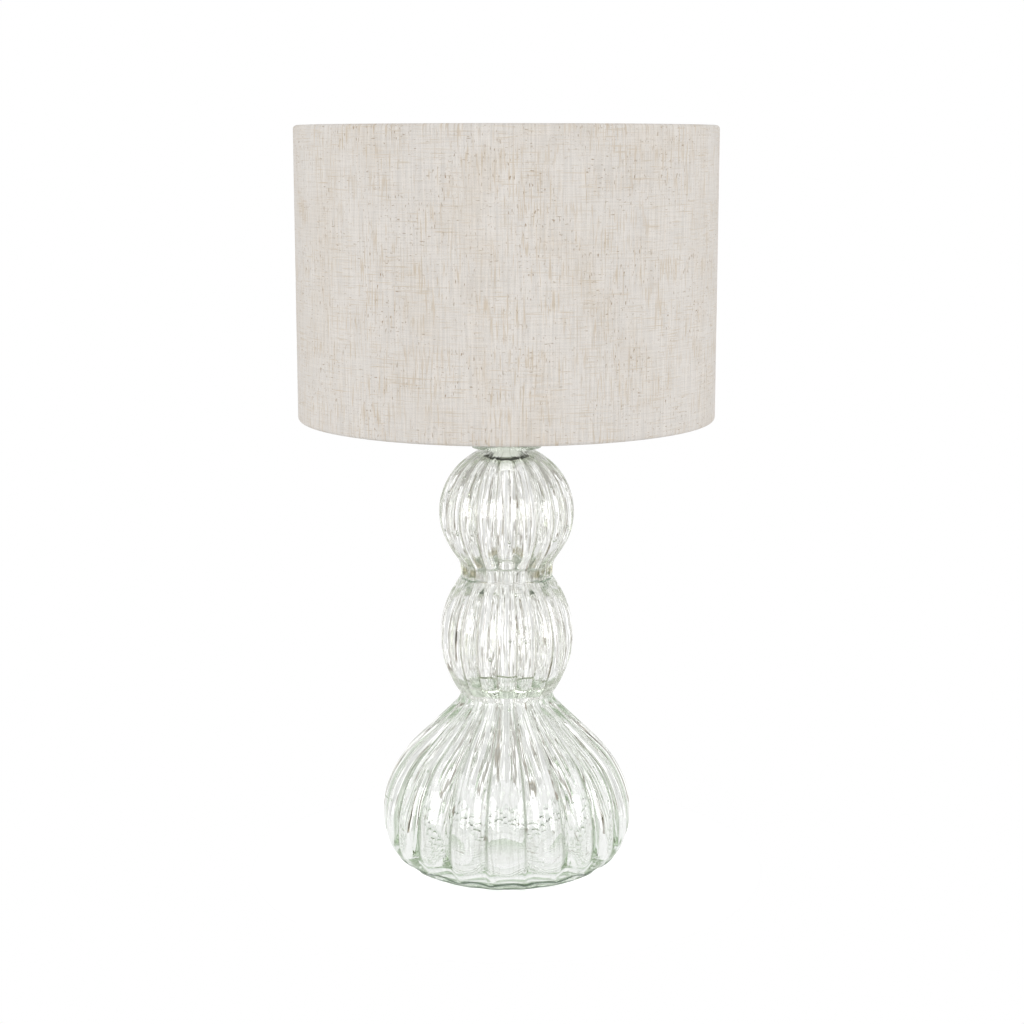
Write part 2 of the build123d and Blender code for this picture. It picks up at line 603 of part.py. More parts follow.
# ---- write one file for each sub-part -------------------------------------------------------------
PARTS = {
    "lower_globe": make_lower_globe,
    "middle_globe": make_middle_globe,
    "upper_globe": make_upper_globe,
    "neck_plug": make_neck_plug,
    "plug_washer": make_plug_washer,
    "plug_nut": make_plug_nut,
    "threaded_tube": make_threaded_tube,
    "neck_cap": make_neck_cap,
    "cord_entry": make_cord_entry,
    "cord_gland": make_cord_gland,
    "holder_nipple": make_holder_nipple,
    "lampholder_cap": make_lampholder_cap,
    "contact_block": make_contact_block,
    "terminal_screws": make_terminal_screws,
    "screw_shell": make_screw_shell,
    "centre_contact": make_centre_contact,
    "lampholder_skirt": make_lampholder_skirt,
    "shade_ring": make_shade_ring,
    "bulb_eyelet": make_bulb_eyelet,
    "bulb_insulator": make_bulb_insulator,
    "bulb_screw_cap": make_bulb_screw_cap,
    "bulb_housing": make_bulb_housing,
    "bulb_envelope": make_bulb_envelope,
    "shade_linen": make_shade_linen,
    "shade_liner": make_shade_liner,
    "top_ring": make_top_ring,
    "shade_carrier": make_shade_carrier,
}

for name, make in PARTS.items():
    export_step(make(), f"parts/{name}.step")
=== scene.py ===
from math import acos, asin, atan, atan2, cos, hypot, pi, radians, sin, sqrt, tan

import bpy
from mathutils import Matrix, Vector


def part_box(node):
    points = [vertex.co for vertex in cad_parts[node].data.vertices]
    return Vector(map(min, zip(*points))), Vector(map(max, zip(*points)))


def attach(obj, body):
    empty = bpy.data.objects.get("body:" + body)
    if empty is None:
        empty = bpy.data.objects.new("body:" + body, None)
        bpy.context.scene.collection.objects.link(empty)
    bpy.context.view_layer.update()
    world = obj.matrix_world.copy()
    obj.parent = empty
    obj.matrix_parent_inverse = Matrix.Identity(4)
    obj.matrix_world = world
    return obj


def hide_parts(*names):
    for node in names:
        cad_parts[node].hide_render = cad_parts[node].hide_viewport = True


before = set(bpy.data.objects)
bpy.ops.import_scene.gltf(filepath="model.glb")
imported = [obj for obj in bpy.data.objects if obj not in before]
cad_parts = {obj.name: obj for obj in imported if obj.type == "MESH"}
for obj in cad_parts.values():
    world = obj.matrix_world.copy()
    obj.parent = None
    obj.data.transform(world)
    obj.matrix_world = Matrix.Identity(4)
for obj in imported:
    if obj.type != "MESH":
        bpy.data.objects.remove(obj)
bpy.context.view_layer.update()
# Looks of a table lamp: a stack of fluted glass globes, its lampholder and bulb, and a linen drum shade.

bl_info = {
    "name": "Stacked glass table lamp",
    "version": (1, 0, 0),
    "blender": (4, 5, 0),
    "location": "View3D > Sidebar > Lamp",
    "description": "Fluted glass globes, lampholder, bulb and linen drum shade around a fixed frame",
    "category": "Add Mesh",
}

WHITE = (1.0, 1.0, 1.0)

# The globes' shape, in metres and shares.
COLUMNS = 18         # faces round each flute
SUPPORT = 0.0002     # from a sharp corner to the point that keeps the wall beside it straight
SHARP = radians(30)  # least bend of such a corner
SAME_PLACE = 0.000002  # points closer than this are one
RIM_EDGE = 0.00008   # height of the broken edge at a bonded rim
RIM_SOFT = 0.00003   # and how far it is rounded
SEAM_RUN = 0.014     # height in which an inner wall eases into a seam
SEAM_REACH = 0.0004  # from a seam's plane to the faces that are glued there
FOOT_RUN = 0.046     # height in which the flutes fade out above the foot
OUTER_UNEVENNESS = 0.6
INNER_UNEVENNESS = 1.6
RIM_UNEVENNESS = [OUTER_UNEVENNESS] * 3 + [0.3] + [0.0] * 3
WAVE_PITCH = 0.0130  # from one wave to the next above the foot
WAVE_LOW, WAVE_HIGH = 0.0005, 0.019  # heights between which they run
WAVE_RISE, WAVE_FADE = 0.002, 0.006  # and in which they set in and die away
WAVE_LEAD = 0.0075   # how far a wave runs ahead in a valley
WAVE_STRAY = 0.012   # and how far the wall's swell carries it
VALLEY_SHAPE = 0.8   # exponent of the crest between two valleys
DRIFT_ROUND, DRIFT_UP = 1.6, 14.0   # how often a flute's stray changes, round the globe and to the metre
SWELL_ROUND, SWELL_UP = 55.0, 26.0  # the same for the swell of the blown wall
FOOT_EASE = 0.006    # height above the foot in which the outside's swell sets in
NECK_EDGE = 0.0006   # how far above the neck's foot the globe's own wall is kept
LIP_SOFT, BORE_SOFT = 0.0015, 0.001  # soft edges of the lip, outside and at its bore
BUBBLE_FLOOR = 0.3   # share of a globe's height below which it has no bubbles
BUBBLE_FACING, BUBBLE_VALLEY = 0.75, 0.3  # least outward facing and deepest valley for a bubble

# The glass, in linear colours.
GREEN_DENSITY, CLEAR_DENSITY = 4.8, 4.0
GLASS_IOR = 1.5
LONGEST_PATH = 4.5   # turns of a light ray, after which glass no longer bends it
SEAM_BLUR = 0.10     # roughness of the glass at the bonded waists
# Tints of painted shade in the glass: lines by the flutes, strokes, waves at the foot, shade beside the
# upper seam and the seam line there.
LINE_SHADE_TINT = (0.74, 0.75, 0.72)
STROKE_SHADE_TINT = (0.16, 0.13, 0.09)
NEAR_WAVE_SHADE_TINT = (0.060, 0.095, 0.065)   # on the near wall
FAR_WAVE_SHADE_TINT = (0.74, 0.78, 0.74)  # seen through the glass
SIDE_SHADE_TINT = (0.30, 0.27, 0.15)
SEAM_SHADE_TINT = (0.16, 0.22, 0.16)
BUBBLE_RIM_SHADE_TINT = (0.10, 0.11, 0.09)

# The linen and the lampholder.
CLOTH_COLUMNS = 288      # faces round the drum
WALL_ROWS, HEM_ROWS = 26, 14  # points up its wall and round each wire
CLOTH_UNEVENNESS = 0.35
SEAM_SHIFT = 0.31        # moves the weave of the lapped end away from the weave under it
SKIRT_WALL = 0.002       # from the contact block to the outside of the lampholder
THREAD_END = 0.001       # bare skirt above and below its thread

# The studio.
SENSOR_WIDTH, PHOTO_WIDTH = 36.0, 1024  # millimetres and pixels
FLOOR_RADIUS, FLOOR_SIDES = 0.22, 96
SCREENS, FOLDS = 8.0, 40.0  # white screens round the lamp, and the folds in all of them
ROOM_LIGHT = 0.62


# ---- settings -------------------------------------------------------------------------------------
def size_setting(name, description, default):
    """A length in metres."""
    return bpy.props.FloatProperty(name=name, description=description, default=default, unit="LENGTH",
                                   precision=5)


def share_setting(name, description, default):
    """A plain factor."""
    return bpy.props.FloatProperty(name=name, description=description, default=default, subtype="FACTOR",
                                   precision=4)


def colour_setting(name, description, default):
    """A linear colour."""
    return bpy.props.FloatVectorProperty(name=name, description=description, default=default, size=3,
                                         subtype="COLOR", min=0, max=1)


def count_setting(name, description, default):
    return bpy.props.IntProperty(name=name, description=description, default=default, min=0)


LOWER_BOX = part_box("lower_globe")
MIDDLE_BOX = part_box("middle_globe")
UPPER_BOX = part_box("upper_globe")
LINEN_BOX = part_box("shade_linen")
SEAMS = (LOWER_BOX[1][2], MIDDLE_BOX[1][2])


class LampGlassSettings(bpy.types.PropertyGroup):
    flutes: count_setting("Flutes", "Lobes round each globe", 20)
    flute_depth: share_setting("Flute depth", "Valley depth as a part of the radius", 0.05)
    flute_depth_at_end: share_setting("Flute depth at the ends", "The same at a globe's rims", 0.034)
    inner_flutes: share_setting("Inner flutes", "Flute depth of the inner wall against the outer", -0.35)
    foot_radius: size_setting("Foot radius", "Flat ring under the lower globe", 0.046)
    punt_radius: size_setting("Punt radius", "Hollow under the foot", 0.033)
    punt_depth: size_setting("Punt depth", "Height of that hollow", 0.0035)
    belly_radius: size_setting("Belly radius", "Lower globe at its widest", LOWER_BOX[1][0])
    belly_height: size_setting("Belly height", "Where the lower globe is widest", 0.047)
    belly_fullness: share_setting("Belly fullness", "Exponent of the corner above the foot", 2.4)
    shoulder_slope: share_setting("Shoulder slope", "Outward run for each unit of drop", 1.04)
    shoulder_end: size_setting("Shoulder end", "Shoulder radius at the waist plane", 0.0346)
    waist_radius: size_setting("Waist radius", "Where two globes are bonded", 0.0392)
    middle_radius: size_setting("Middle radius", "Middle globe at its widest", MIDDLE_BOX[1][0])
    upper_radius: size_setting("Upper radius", "Upper globe's sphere", 0.0574)
    upper_centre: size_setting("Upper centre", "Sphere centre above the upper seam", 0.056)
    neck_radius: size_setting("Neck radius", "Under the lip", 0.0205)
    neck_bore: size_setting("Neck bore", "Radius of the hole in the neck", 0.0135)
    lip_radius: size_setting("Lip radius", "Flared lip", 0.0295)
    lip_flare: size_setting("Lip flare", "Height in which the lip flares out", 0.0018)
    wall: size_setting("Wall", "Glass under a valley, halfway up a globe", 0.0026)
    rim_wall: size_setting("Rim wall", "Glass under a valley, at the bonded rims", 0.008)
    foot_wall: size_setting("Foot wall", "Floor of the lower globe", 0.011)
    bond_gap: size_setting("Bond gap", "Half the thin film between two rims", 0.00002)
    foot_waves: size_setting("Foot waves", "Height of the waves above the foot", 0.0007)
    wander: share_setting("Wander", "How far a flute strays sideways, in radians", 0.07)
    ripple: size_setting("Ripple", "Unevenness of the blown wall", 0.0007)
    green_tint: colour_setting("Green tint", "Absorption colour of the lower globe", (0.76, 0.88, 0.74))
    clear_tint: colour_setting("Clear tint", "Absorption colour of the other globes", (0.82, 0.88, 0.80))
    bubbles: share_setting("Bubbles", "Seeds in each square metre of wall", 3200.0)
    largest_bubble: size_setting("Largest bubble", "Radius of the largest seed", 0.0018)


class LampShadeSettings(bpy.types.PropertyGroup):
    linen_colour: colour_setting("Linen colour", "Ground of the cloth", (0.70, 0.665, 0.625))
    slub_colour: colour_setting("Slub colour", "Thick darker threads", (0.50, 0.385, 0.24))
    knot_colour: colour_setting("Knot colour", "Small dark knots in the thread", (0.22, 0.135, 0.075))
    thread_pitch: size_setting("Thread pitch", "From one thread to the next", 0.00085)
    wire_radius: size_setting("Wire radius", "Top and bottom rings", 0.0019)
    hem_clearance: size_setting("Hem clearance", "Between the wire and the cloth round it", 0.0003)
    cloth: size_setting("Cloth", "Thickness of the linen", 0.0008)
    hem_wrap: share_setting("Hem wrap", "Degrees that the cloth is rolled round a wire", 220.0)
    overlap: size_setting("Overlap", "Width of the seam at the back", 0.012)


class LampFittingSettings(bpy.types.PropertyGroup):
    thread_pitch: size_setting("Thread pitch", "Of the lampholder's outside thread", 0.0025)
    thread_height: size_setting("Thread height", "Of that thread above the skirt", 0.0005)


class LampStageSettings(bpy.types.PropertyGroup):
    focal_pixels: share_setting("Focal length", "In pixels of a 1024 wide picture", 2028.0)
    distance: size_setting("Distance", "From the lamp's axis to the camera", 1.70)
    height: size_setting("Height", "Camera above the surface", 0.619)
    tilt: bpy.props.FloatProperty(name="Tilt", description="Camera's tilt down", default=radians(10.22),
                                  subtype="ANGLE")
    sideways: size_setting("Sideways", "Camera to the right of the axis", 0.0046)


SETTINGS = {
    "lamp_glass": LampGlassSettings,
    "lamp_shade": LampShadeSettings,
    "lamp_fittings": LampFittingSettings,
    "lamp_stage": LampStageSettings,
}


# ---- helpers for node trees -----------------------------------------------------------------------
def once(name, make):
    """Node group that is built the first time it is asked for."""
    return bpy.data.node_groups.get(name) or make()


def feed(tree, node, values):
    """Puts values or other nodes' sockets into a node's inputs."""
    for name, value in values.items():
        if isinstance(value, bpy.types.NodeSocket):
            tree.links.new(value, node.inputs[name])
        else:
            node.inputs[name].default_value = value


def add(tree, kind, values=None, **settings):
    """Node with its settings and its inputs."""
    made = tree.nodes.new(kind)
    for name, setting in settings.items():
        setattr(made, name, setting)
    feed(tree, made, values or {})
    return made


def maths(tree, operation, *values):
    """Result of one Math node."""
    return add(tree, "ShaderNodeMath", dict(enumerate(values)), operation=operation).outputs[0]


def times(tree, one, other):
    return maths(tree, "MULTIPLY", one, other)


def plus(tree, one, other):
    return maths(tree, "ADD", one, other)


def minus(tree, one, other):
    return maths(tree, "SUBTRACT", one, other)


def times_plus(tree, one, other, extra):
    return maths(tree, "MULTIPLY_ADD", one, other, extra)


def larger(tree, one, other):
    return maths(tree, "MAXIMUM", one, other)


def vector_maths(tree, operation, *values):
    """Result of one Vector Math node."""
    made = add(tree, "ShaderNodeVectorMath", dict(enumerate(values)), operation=operation)
    return made.outputs["Value" if operation == "DOT_PRODUCT" else "Vector"]


def vector_of(tree, *values):
    return add(tree, "ShaderNodeCombineXYZ", dict(enumerate(values))).outputs[0]


def axes_of(tree, vector):
    return add(tree, "ShaderNodeSeparateXYZ", {0: vector}).outputs


def outward_from_axis(tree, place):
    """Level direction from the axis to a place."""
    return vector_maths(tree, "NORMALIZE", vector_maths(tree, "MULTIPLY", place, (1, 1, 0)))


def between(tree, value, low, high, to_low=0.0, to_high=1.0):
    """Value eased from one range to another."""
    made = add(tree, "ShaderNodeMapRange", {
        "Value": value, "From Min": low, "From Max": high, "To Min": to_low, "To Max": to_high,
    }, interpolation_type="SMOOTHSTEP")
    return made.outputs["Result"]


def opaque(colour):
    """Colour with its fourth number, or a socket as it is."""
    return colour if isinstance(colour, bpy.types.NodeSocket) else (*colour, 1.0)


def mixed(tree, share, one, other, blend="MIX"):
    """Colour between two colours."""
    values = {0: share, 6: opaque(one), 7: opaque(other)}
    return add(tree, "ShaderNodeMix", values, data_type="RGBA", blend_type=blend).outputs[2]


def stretched(tree, vector, scale):
    """Vector scaled along each axis."""
    return add(tree, "ShaderNodeMapping", {"Vector": vector, "Scale": scale}).outputs["Vector"]


def noise(tree, vector, scale, detail=2.0, roughness=0.5):
    return add(tree, "ShaderNodeTexNoise", {
        "Vector": vector, "Scale": scale, "Detail": detail, "Roughness": roughness,
    }).outputs["Fac"]


def streaks(tree, vector, across, up, detail=2.0, roughness=0.5):
    """Noise with so many marks to the metre each way."""
    return noise(tree, stretched(tree, vector, (across, up, 1)), 1.0, detail, roughness)


def group_outputs(tree, name, make, values):
    """Outputs of a shared node group."""
    return add(tree, "ShaderNodeGroup", values, node_tree=once(name, make)).outputs


def raise_surface(tree, shader, height, strength, distance):
    """Bumps a shader's surface."""
    bump = add(tree, "ShaderNodeBump", {"Height": height, "Strength": strength, "Distance": distance})
    feed(tree, shader, {"Normal": bump.outputs[0]})


def new_group(name, kind, inputs, outputs):
    """Node group with its input and output nodes. A socket is given by its default or its kind."""
    tree = bpy.data.node_groups.new(name, kind)
    kinds = {int: "Int", float: "Float", tuple: "Color"}
    for in_out, sockets in (("INPUT", inputs), ("OUTPUT", outputs)):
        for label, given in sockets.items():
            plain = isinstance(given, str)
            socket_type = "NodeSocket" + (given if plain else kinds[type(given)])
            socket = tree.interface.new_socket(label, in_out=in_out, socket_type=socket_type)
            if not plain:
                socket.default_value = given
    return tree, tree.nodes.new("NodeGroupInput").outputs, tree.nodes.new("NodeGroupOutput").inputs


# ---- geometry node trees --------------------------------------------------------------------------
def smoothed(tree, geometry):
    return add(tree, "GeometryNodeSetShadeSmooth", {"Geometry": geometry}).outputs[0]


def finished(tree, geometry, given, result):
    """Closes a tree: everything made real, in one material."""
    real = add(tree, "GeometryNodeRealizeInstances", {"Geometry": geometry}).outputs[0]
    dressed_mesh = add(tree, "GeometryNodeSetMaterial", {"Geometry": real, "Material": given["Material"]})
    tree.links.new(dressed_mesh.outputs[0], result[0])
    return tree


def turned_shell_tree():
    """Turns an outline about the axis, presses flutes into it, and unwraps it in metres."""
    tree, given, result = new_group("Turned shell", "GeometryNodeTree", {
        "Outline": "Geometry", "Segments": 320, "Flutes": 20, "Wander": 0.0, "Ripple": 0.0,
        "Seed": 0.0, "Waves": 0.0, "Unwrap Radius": 0.06, "Material": "Material",
    }, {"Shell": "Geometry"})
    size = add(tree, "GeometryNodeAttributeDomainSize", {"Geometry": given["Outline"]})
    rows = size.outputs["Point Count"]
    columns = plus(tree, given["Segments"], 1)
    grid = add(tree, "GeometryNodeMeshGrid", {"Vertices X": columns, "Vertices Y": rows})
    index = add(tree, "GeometryNodeInputIndex").outputs[0]
    row = maths(tree, "MODULO", index, rows)
    column = maths(tree, "FLOOR", maths(tree, "DIVIDE", plus(tree, index, 0.5), rows))
    angle = times(tree, maths(tree, "DIVIDE", column, given["Segments"]), 2 * pi)
    sideways, forwards = maths(tree, "COSINE", angle), maths(tree, "SINE", angle)

    def from_outline(value, kind):
        """What the outline holds at this row."""
        return add(tree, "GeometryNodeSampleIndex", {
            "Geometry": given["Outline"], "Value": value, "Index": row,
        }, data_type=kind).outputs[0]

    def stored(name):
        return add(tree, "GeometryNodeInputNamedAttribute", {"Name": name}).outputs[0]

    def round_axis(reach, level, seed, detail):
        """Noise at a place round the axis."""
        return add(tree, "ShaderNodeTexNoise", {
            "Vector": vector_of(tree, *reach, level), "W": seed, "Scale": 1.0, "Detail": detail,
        }, noise_dimensions="4D").outputs["Fac"]

    place = from_outline(add(tree, "GeometryNodeInputPosition").outputs[0], "FLOAT_VECTOR")
    radius, _, height = axes_of(tree, place)
    depth, unevenness, along, waviness = (
        from_outline(stored(name), "FLOAT") for name in ("flute", "uneven", "along", "rings")
    )

    # A flute strays a little sideways on its way up, so no two are quite alike.
    drift = round_axis(
        [times(tree, axis, DRIFT_ROUND) for axis in (sideways, forwards)],
        times(tree, height, DRIFT_UP), plus(tree, given["Seed"], unevenness), 1.0)
    strayed = times_plus(tree, minus(tree, drift, 0.5), given["Wander"], angle)
    half_turns = times(tree, strayed, times(tree, given["Flutes"], 0.5))
    crest = maths(tree, "ABSOLUTE", maths(tree, "COSINE", half_turns))
    valley = minus(tree, 1.0, maths(tree, "POWER", crest, VALLEY_SHAPE))
    pressed = minus(tree, 1.0, times(tree, valley, depth))
    lobed = times(tree, radius, pressed)

    # The blown wall is uneven, and more so inside, where nothing shaped it.
    swell = round_axis(
        [times(tree, times(tree, radius, axis), SWELL_ROUND) for axis in (sideways, forwards)],
        times(tree, height, SWELL_UP), given["Seed"], 1.5)
    push = times(tree, minus(tree, swell, 0.5), times(tree, given["Ripple"], unevenness))
    # Waves above the foot, led round the lobes.
    wave = times_plus(tree, valley, WAVE_LEAD, times_plus(tree, swell, WAVE_STRAY, along))
    ringed = times(tree, maths(tree, "SINE", times(tree, wave, 2 * pi / WAVE_PITCH)), waviness)
    waved = times(tree, ringed, given["Waves"])
    final_radius = plus(tree, plus(tree, lobed, push), waved)

    captured = add(tree, "GeometryNodeCaptureAttribute", {"Geometry": grid.outputs["Mesh"]}, domain="POINT")
    carried = (
        ("unwrapped", "VECTOR", "FLOAT2", "CORNER",
         vector_of(tree, times(tree, angle, given["Unwrap Radius"]), along)),
        ("valley", "FLOAT", "FLOAT", "POINT", valley),
        ("ringed", "FLOAT", "FLOAT", "POINT", ringed),
    )
    for name, kind, _, _, value in carried:
        captured.capture_items.new(kind, name)
        tree.links.new(value, captured.inputs[name])
    shell = add(tree, "GeometryNodeSetPosition", {
        "Geometry": captured.outputs["Geometry"],
        "Position": vector_of(tree, *(times(tree, final_radius, axis) for axis in (sideways, forwards)),
                              minus(tree, height, waved)),
    }).outputs[0]
    for name, _, kind, domain, _ in carried:
        shell = add(tree, "GeometryNodeStoreNamedAttribute", {
            "Geometry": shell, "Name": name, "Value": captured.outputs[name],
        }, data_type=kind, domain=domain).outputs[0]
    closed = add(tree, "GeometryNodeMergeByDistance", {"Geometry": shell, "Distance": SAME_PLACE})
    return finished(tree, smoothed(tree, closed.outputs[0]), given, result)


def bubbles_tree():
    """Small seeds of air set into the wall of a glass shell."""
    tree, given, result = new_group("Glass seeds", "GeometryNodeTree", {
        "Shell": "Geometry", "Density": 900.0, "Depth": 0.0024, "Largest": 0.0009, "Lowest": 0.0,
        "Seed": 1, "Material": "Material",
    }, {"Bubbles": "Geometry"})
    normal = add(tree, "GeometryNodeInputNormal").outputs[0]
    place = add(tree, "GeometryNodeInputPosition").outputs[0]
    facing = vector_maths(tree, "DOT_PRODUCT", normal, outward_from_axis(tree, place))
    # Only under the crest of a lobe is the wall thick enough.
    valley = add(tree, "GeometryNodeInputNamedAttribute", {"Name": "valley"}).outputs[0]
    thick = times(tree, maths(tree, "GREATER_THAN", facing, BUBBLE_FACING),
                  maths(tree, "LESS_THAN", valley, BUBBLE_VALLEY))
    above = maths(tree, "GREATER_THAN", axes_of(tree, place)[2], given["Lowest"])
    points = add(tree, "GeometryNodeDistributePointsOnFaces", {
        "Mesh": given["Shell"], "Selection": times(tree, thick, above),
        "Density": given["Density"], "Seed": given["Seed"],
    })
    inward = add(tree, "ShaderNodeVectorMath", {
        0: points.outputs["Normal"], "Scale": times(tree, given["Depth"], -1.0),
    }, operation="SCALE").outputs[0]
    sunk = add(tree, "GeometryNodeSetPosition", {"Geometry": points.outputs["Points"], "Offset": inward})
    size = add(tree, "FunctionNodeRandomValue", {
        "Min": (0.34, 0.34, 0.30), "Max": (1.0, 1.0, 0.8), "Seed": given["Seed"],
    }, data_type="FLOAT_VECTOR").outputs["Value"]
    seed = add(tree, "GeometryNodeMeshIcoSphere", {"Radius": given["Largest"], "Subdivisions": 3})
    instances = add(tree, "GeometryNodeInstanceOnPoints", {
        "Points": sunk.outputs[0], "Instance": smoothed(tree, seed.outputs["Mesh"]), "Scale": size,
        "Rotation": points.outputs["Rotation"],
    }).outputs[0]
    return finished(tree, instances, given, result)


def thread_tree():
    """Round ridge wound about the axis, as a screw thread."""
    tree, given, result = new_group("Screw thread", "GeometryNodeTree", {
        "Outline": "Geometry", "Radius": 0.0197, "Low": 0.0, "High": 0.01, "Pitch": 0.0025,
        "Ridge": 0.0005, "Material": "Material",
    }, {"Thread": "Geometry"})
    rise = minus(tree, given["High"], given["Low"])
    spiral = add(tree, "GeometryNodeCurveSpiral", {
        "Resolution": 64, "Rotations": maths(tree, "DIVIDE", rise, given["Pitch"]),
        "Start Radius": given["Radius"], "End Radius": given["Radius"], "Height": rise,
    })
    section = add(tree, "GeometryNodeCurvePrimitiveCircle", {"Resolution": 8, "Radius": given["Ridge"]})
    ridge = add(tree, "GeometryNodeCurveToMesh", {
        "Curve": spiral.outputs[0], "Profile Curve": section.outputs[0], "Fill Caps": True,
    }).outputs[0]
    raised = add(tree, "GeometryNodeSetPosition", {
        "Geometry": ridge, "Offset": vector_of(tree, 0.0, 0.0, given["Low"]),
    }).outputs[0]
    return finished(tree, smoothed(tree, raised), given, result)


# ---- making pieces --------------------------------------------------------------------------------
def set_down(name, data):
    """New object in the scene."""
    obj = bpy.data.objects.new(name, data)
    bpy.context.scene.collection.objects.link(obj)
    return obj


def grown(name, mesh, tree, values):
    """Plain mesh object that a geometry node tree makes from a mesh."""
    obj = set_down(name, mesh)
    modifier = obj.modifiers.new(tree.name, "NODES")
    modifier.node_group = tree
    for item in tree.interface.items_tree:
        if item.in_out == "INPUT" and item.name in values:
            modifier[item.identifier] = values[item.name]
    bpy.context.view_layer.update()
    result = bpy.data.meshes.new_from_object(obj.evaluated_get(bpy.context.evaluated_depsgraph_get()))
    obj.modifiers.remove(modifier)
    obj.data = result
    result.name = name
    turn_outwards(result)
    return obj


def turn_outwards(mesh):
    """Flips a closed mesh whose faces point inwards."""
    mesh.calc_loop_triangles()
    points = [vertex.co for vertex in mesh.vertices]
    volume = 0.0
    for triangle in mesh.loop_triangles:
        one, two, three = (points[index] for index in triangle.vertices)
        volume += one.dot(two.cross(three))
    if volume < 0:
        mesh.flip_normals()


def lengths_along(points):
    """How far along its outline each point lies, in metres."""
    lengths = [0.0]
    for before, after in zip(points, points[1:]):
        lengths.append(lengths[-1] + hypot(after[0] - before[0], after[1] - before[1]))
    return lengths


def outline_mesh(name, points, flute, uneven, rings=None):
    """Outline of (radius, height) points with what the turned shell needs at each of them."""
    points, flute, uneven, rings = crisp(points, flute, uneven, rings or [0.0] * len(points))
    mesh = bpy.data.meshes.new(name)
    mesh.from_pydata([(radius, 0, height) for radius, height in points], [], [])
    along = lengths_along(points)
    for label, values in (("flute", flute), ("uneven", uneven), ("rings", rings), ("along", along)):
        mesh.attributes.new(label, "FLOAT", "POINT").data.foreach_set("value", values)
    return mesh


def crisp(points, *lists):
    """Adds a point close to each sharp corner of an outline, so a smooth wall stays straight up to it."""
    closed = points[0] == points[-1]
    last = len(points) - 1
    result = [[] for _ in range(len(lists) + 1)]

    def heading(one, two):
        return atan2(points[two][1] - points[one][1], points[two][0] - points[one][0])

    def sharp(index):
        if index in (0, last) and not closed:
            return False
        before, after = (index - 1 if index > 0 else last - 1), (index + 1 if index < last else 1)
        bend = abs(heading(before, index) - heading(index, after)) % (2 * pi)
        return min(bend, 2 * pi - bend) > SHARP

    def put(index, share):
        """The point a share of the way to the next one, with its values."""
        for made, values in zip(result, (points, *lists)):
            one, two = values[index], values[min(index + 1, last)]
            if made is result[0]:
                made.append((one[0] + (two[0] - one[0]) * share, one[1] + (two[1] - one[1]) * share))
            else:
                made.append(one + (two - one) * share)

    for index in range(last):
        put(index, 0.0)
        length = hypot(points[index + 1][0] - points[index][0], points[index + 1][1] - points[index][1])
        if length > 4 * SUPPORT:
            if sharp(index):
                put(index, SUPPORT / length)
            if sharp(index + 1):
                put(index, 1 - SUPPORT / length)
    put(last, 0.0)
    if closed:
        result[0][-1] = result[0][0]
    return result


def dressed(obj, body, slot, *nodes):
    """Rides a finished piece on its body and stands it for its CAD nodes."""
    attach(obj, body)
    if nodes:
        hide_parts(*nodes)
    return obj


def bond(globe, material):
    """Gives the flat rims at a globe's seams the clear glue, through which light runs straight on."""
    globe.data.materials.append(material)
    for face in globe.data.polygons:
        level = abs(face.normal.z) > 0.9
        if level and any(abs(face.center.z - seam) < SEAM_REACH for seam in SEAMS):
            face.material_index = 1


def finish(name, colour, roughness, *nodes, **looks):
    """Plain material for CAD nodes that are shown as they are."""
    material = grained_material(name, colour, roughness, **looks)
    for node in nodes:
        for slot in bpy.data.objects[node].material_slots:
            slot.material = material
    return material


# ---- glass outlines -------------------------------------------------------------------------------
def eased(count):
    """Shares from 0 to 1."""
    return [index / (count - 1) for index in range(count)]


def soft_larger(one, other, sharpness=14):
    """The larger of two radii, with a hollow blend where they are alike."""
    return max(one, other) * (1 + (min(one, other) / max(one, other)) ** sharpness) ** (1 / sharpness)


def lower_outline(glass, top):
    """Outside of the lower globe from the foot ring to the seam."""
    power = 2 / glass.belly_fullness
    spread = glass.belly_radius - glass.foot_radius
    points = []
    for share in eased(64)[:-1]:
        angle = radians(90 * (1 - share))
        reach = cos(angle) ** power if share > 0 else 0.0
        points.append((glass.foot_radius + spread * reach, glass.belly_height * (1 - sin(angle) ** power)))
    corner = top - (glass.belly_radius - glass.shoulder_end) / glass.shoulder_slope
    lean = atan(glass.shoulder_slope)
    arc = (corner - glass.belly_height) / tan(lean / 2)
    for share in eased(14):
        turn = lean * share
        points.append((glass.belly_radius - arc * (1 - cos(turn)), glass.belly_height + arc * sin(turn)))
    arc_end = points[-1][1]
    for share in eased(14)[1:]:
        height = arc_end + (top - arc_end) * share
        line = glass.shoulder_end + glass.shoulder_slope * (top - height)
        points.append((soft_larger(line, glass.waist_radius), height))
    return points


def middle_outline(glass, bottom, top):
    """Outside of the middle globe, one arc from seam to seam."""
    half = (top - bottom) / 2
    bulge = glass.middle_radius - glass.waist_radius
    arc = (half**2 + bulge**2) / (2 * bulge)
    points = []
    for share in eased(34):
        offset = half * (2 * share - 1)
        points.append((glass.middle_radius - arc + sqrt(arc**2 - offset**2), bottom + half + offset))
    return points


def upper_outline(glass, bottom):
    """Outside of the upper globe from the seam to the neck."""
    low = -asin(glass.upper_centre / glass.upper_radius)
    high = acos(glass.neck_radius / glass.upper_radius)
    points = []
    for share in eased(40):
        angle = low + (high - low) * share
        radius = glass.upper_radius * cos(angle)
        height = bottom + glass.upper_centre + glass.upper_radius * sin(angle)
        points.append((soft_larger(radius, glass.waist_radius) if angle < 0 else radius, height))
    return points


def places_along(points):
    """How far along its outline each point lies, from 0 to 1."""
    lengths = lengths_along(points)
    return [length / lengths[-1] for length in lengths]


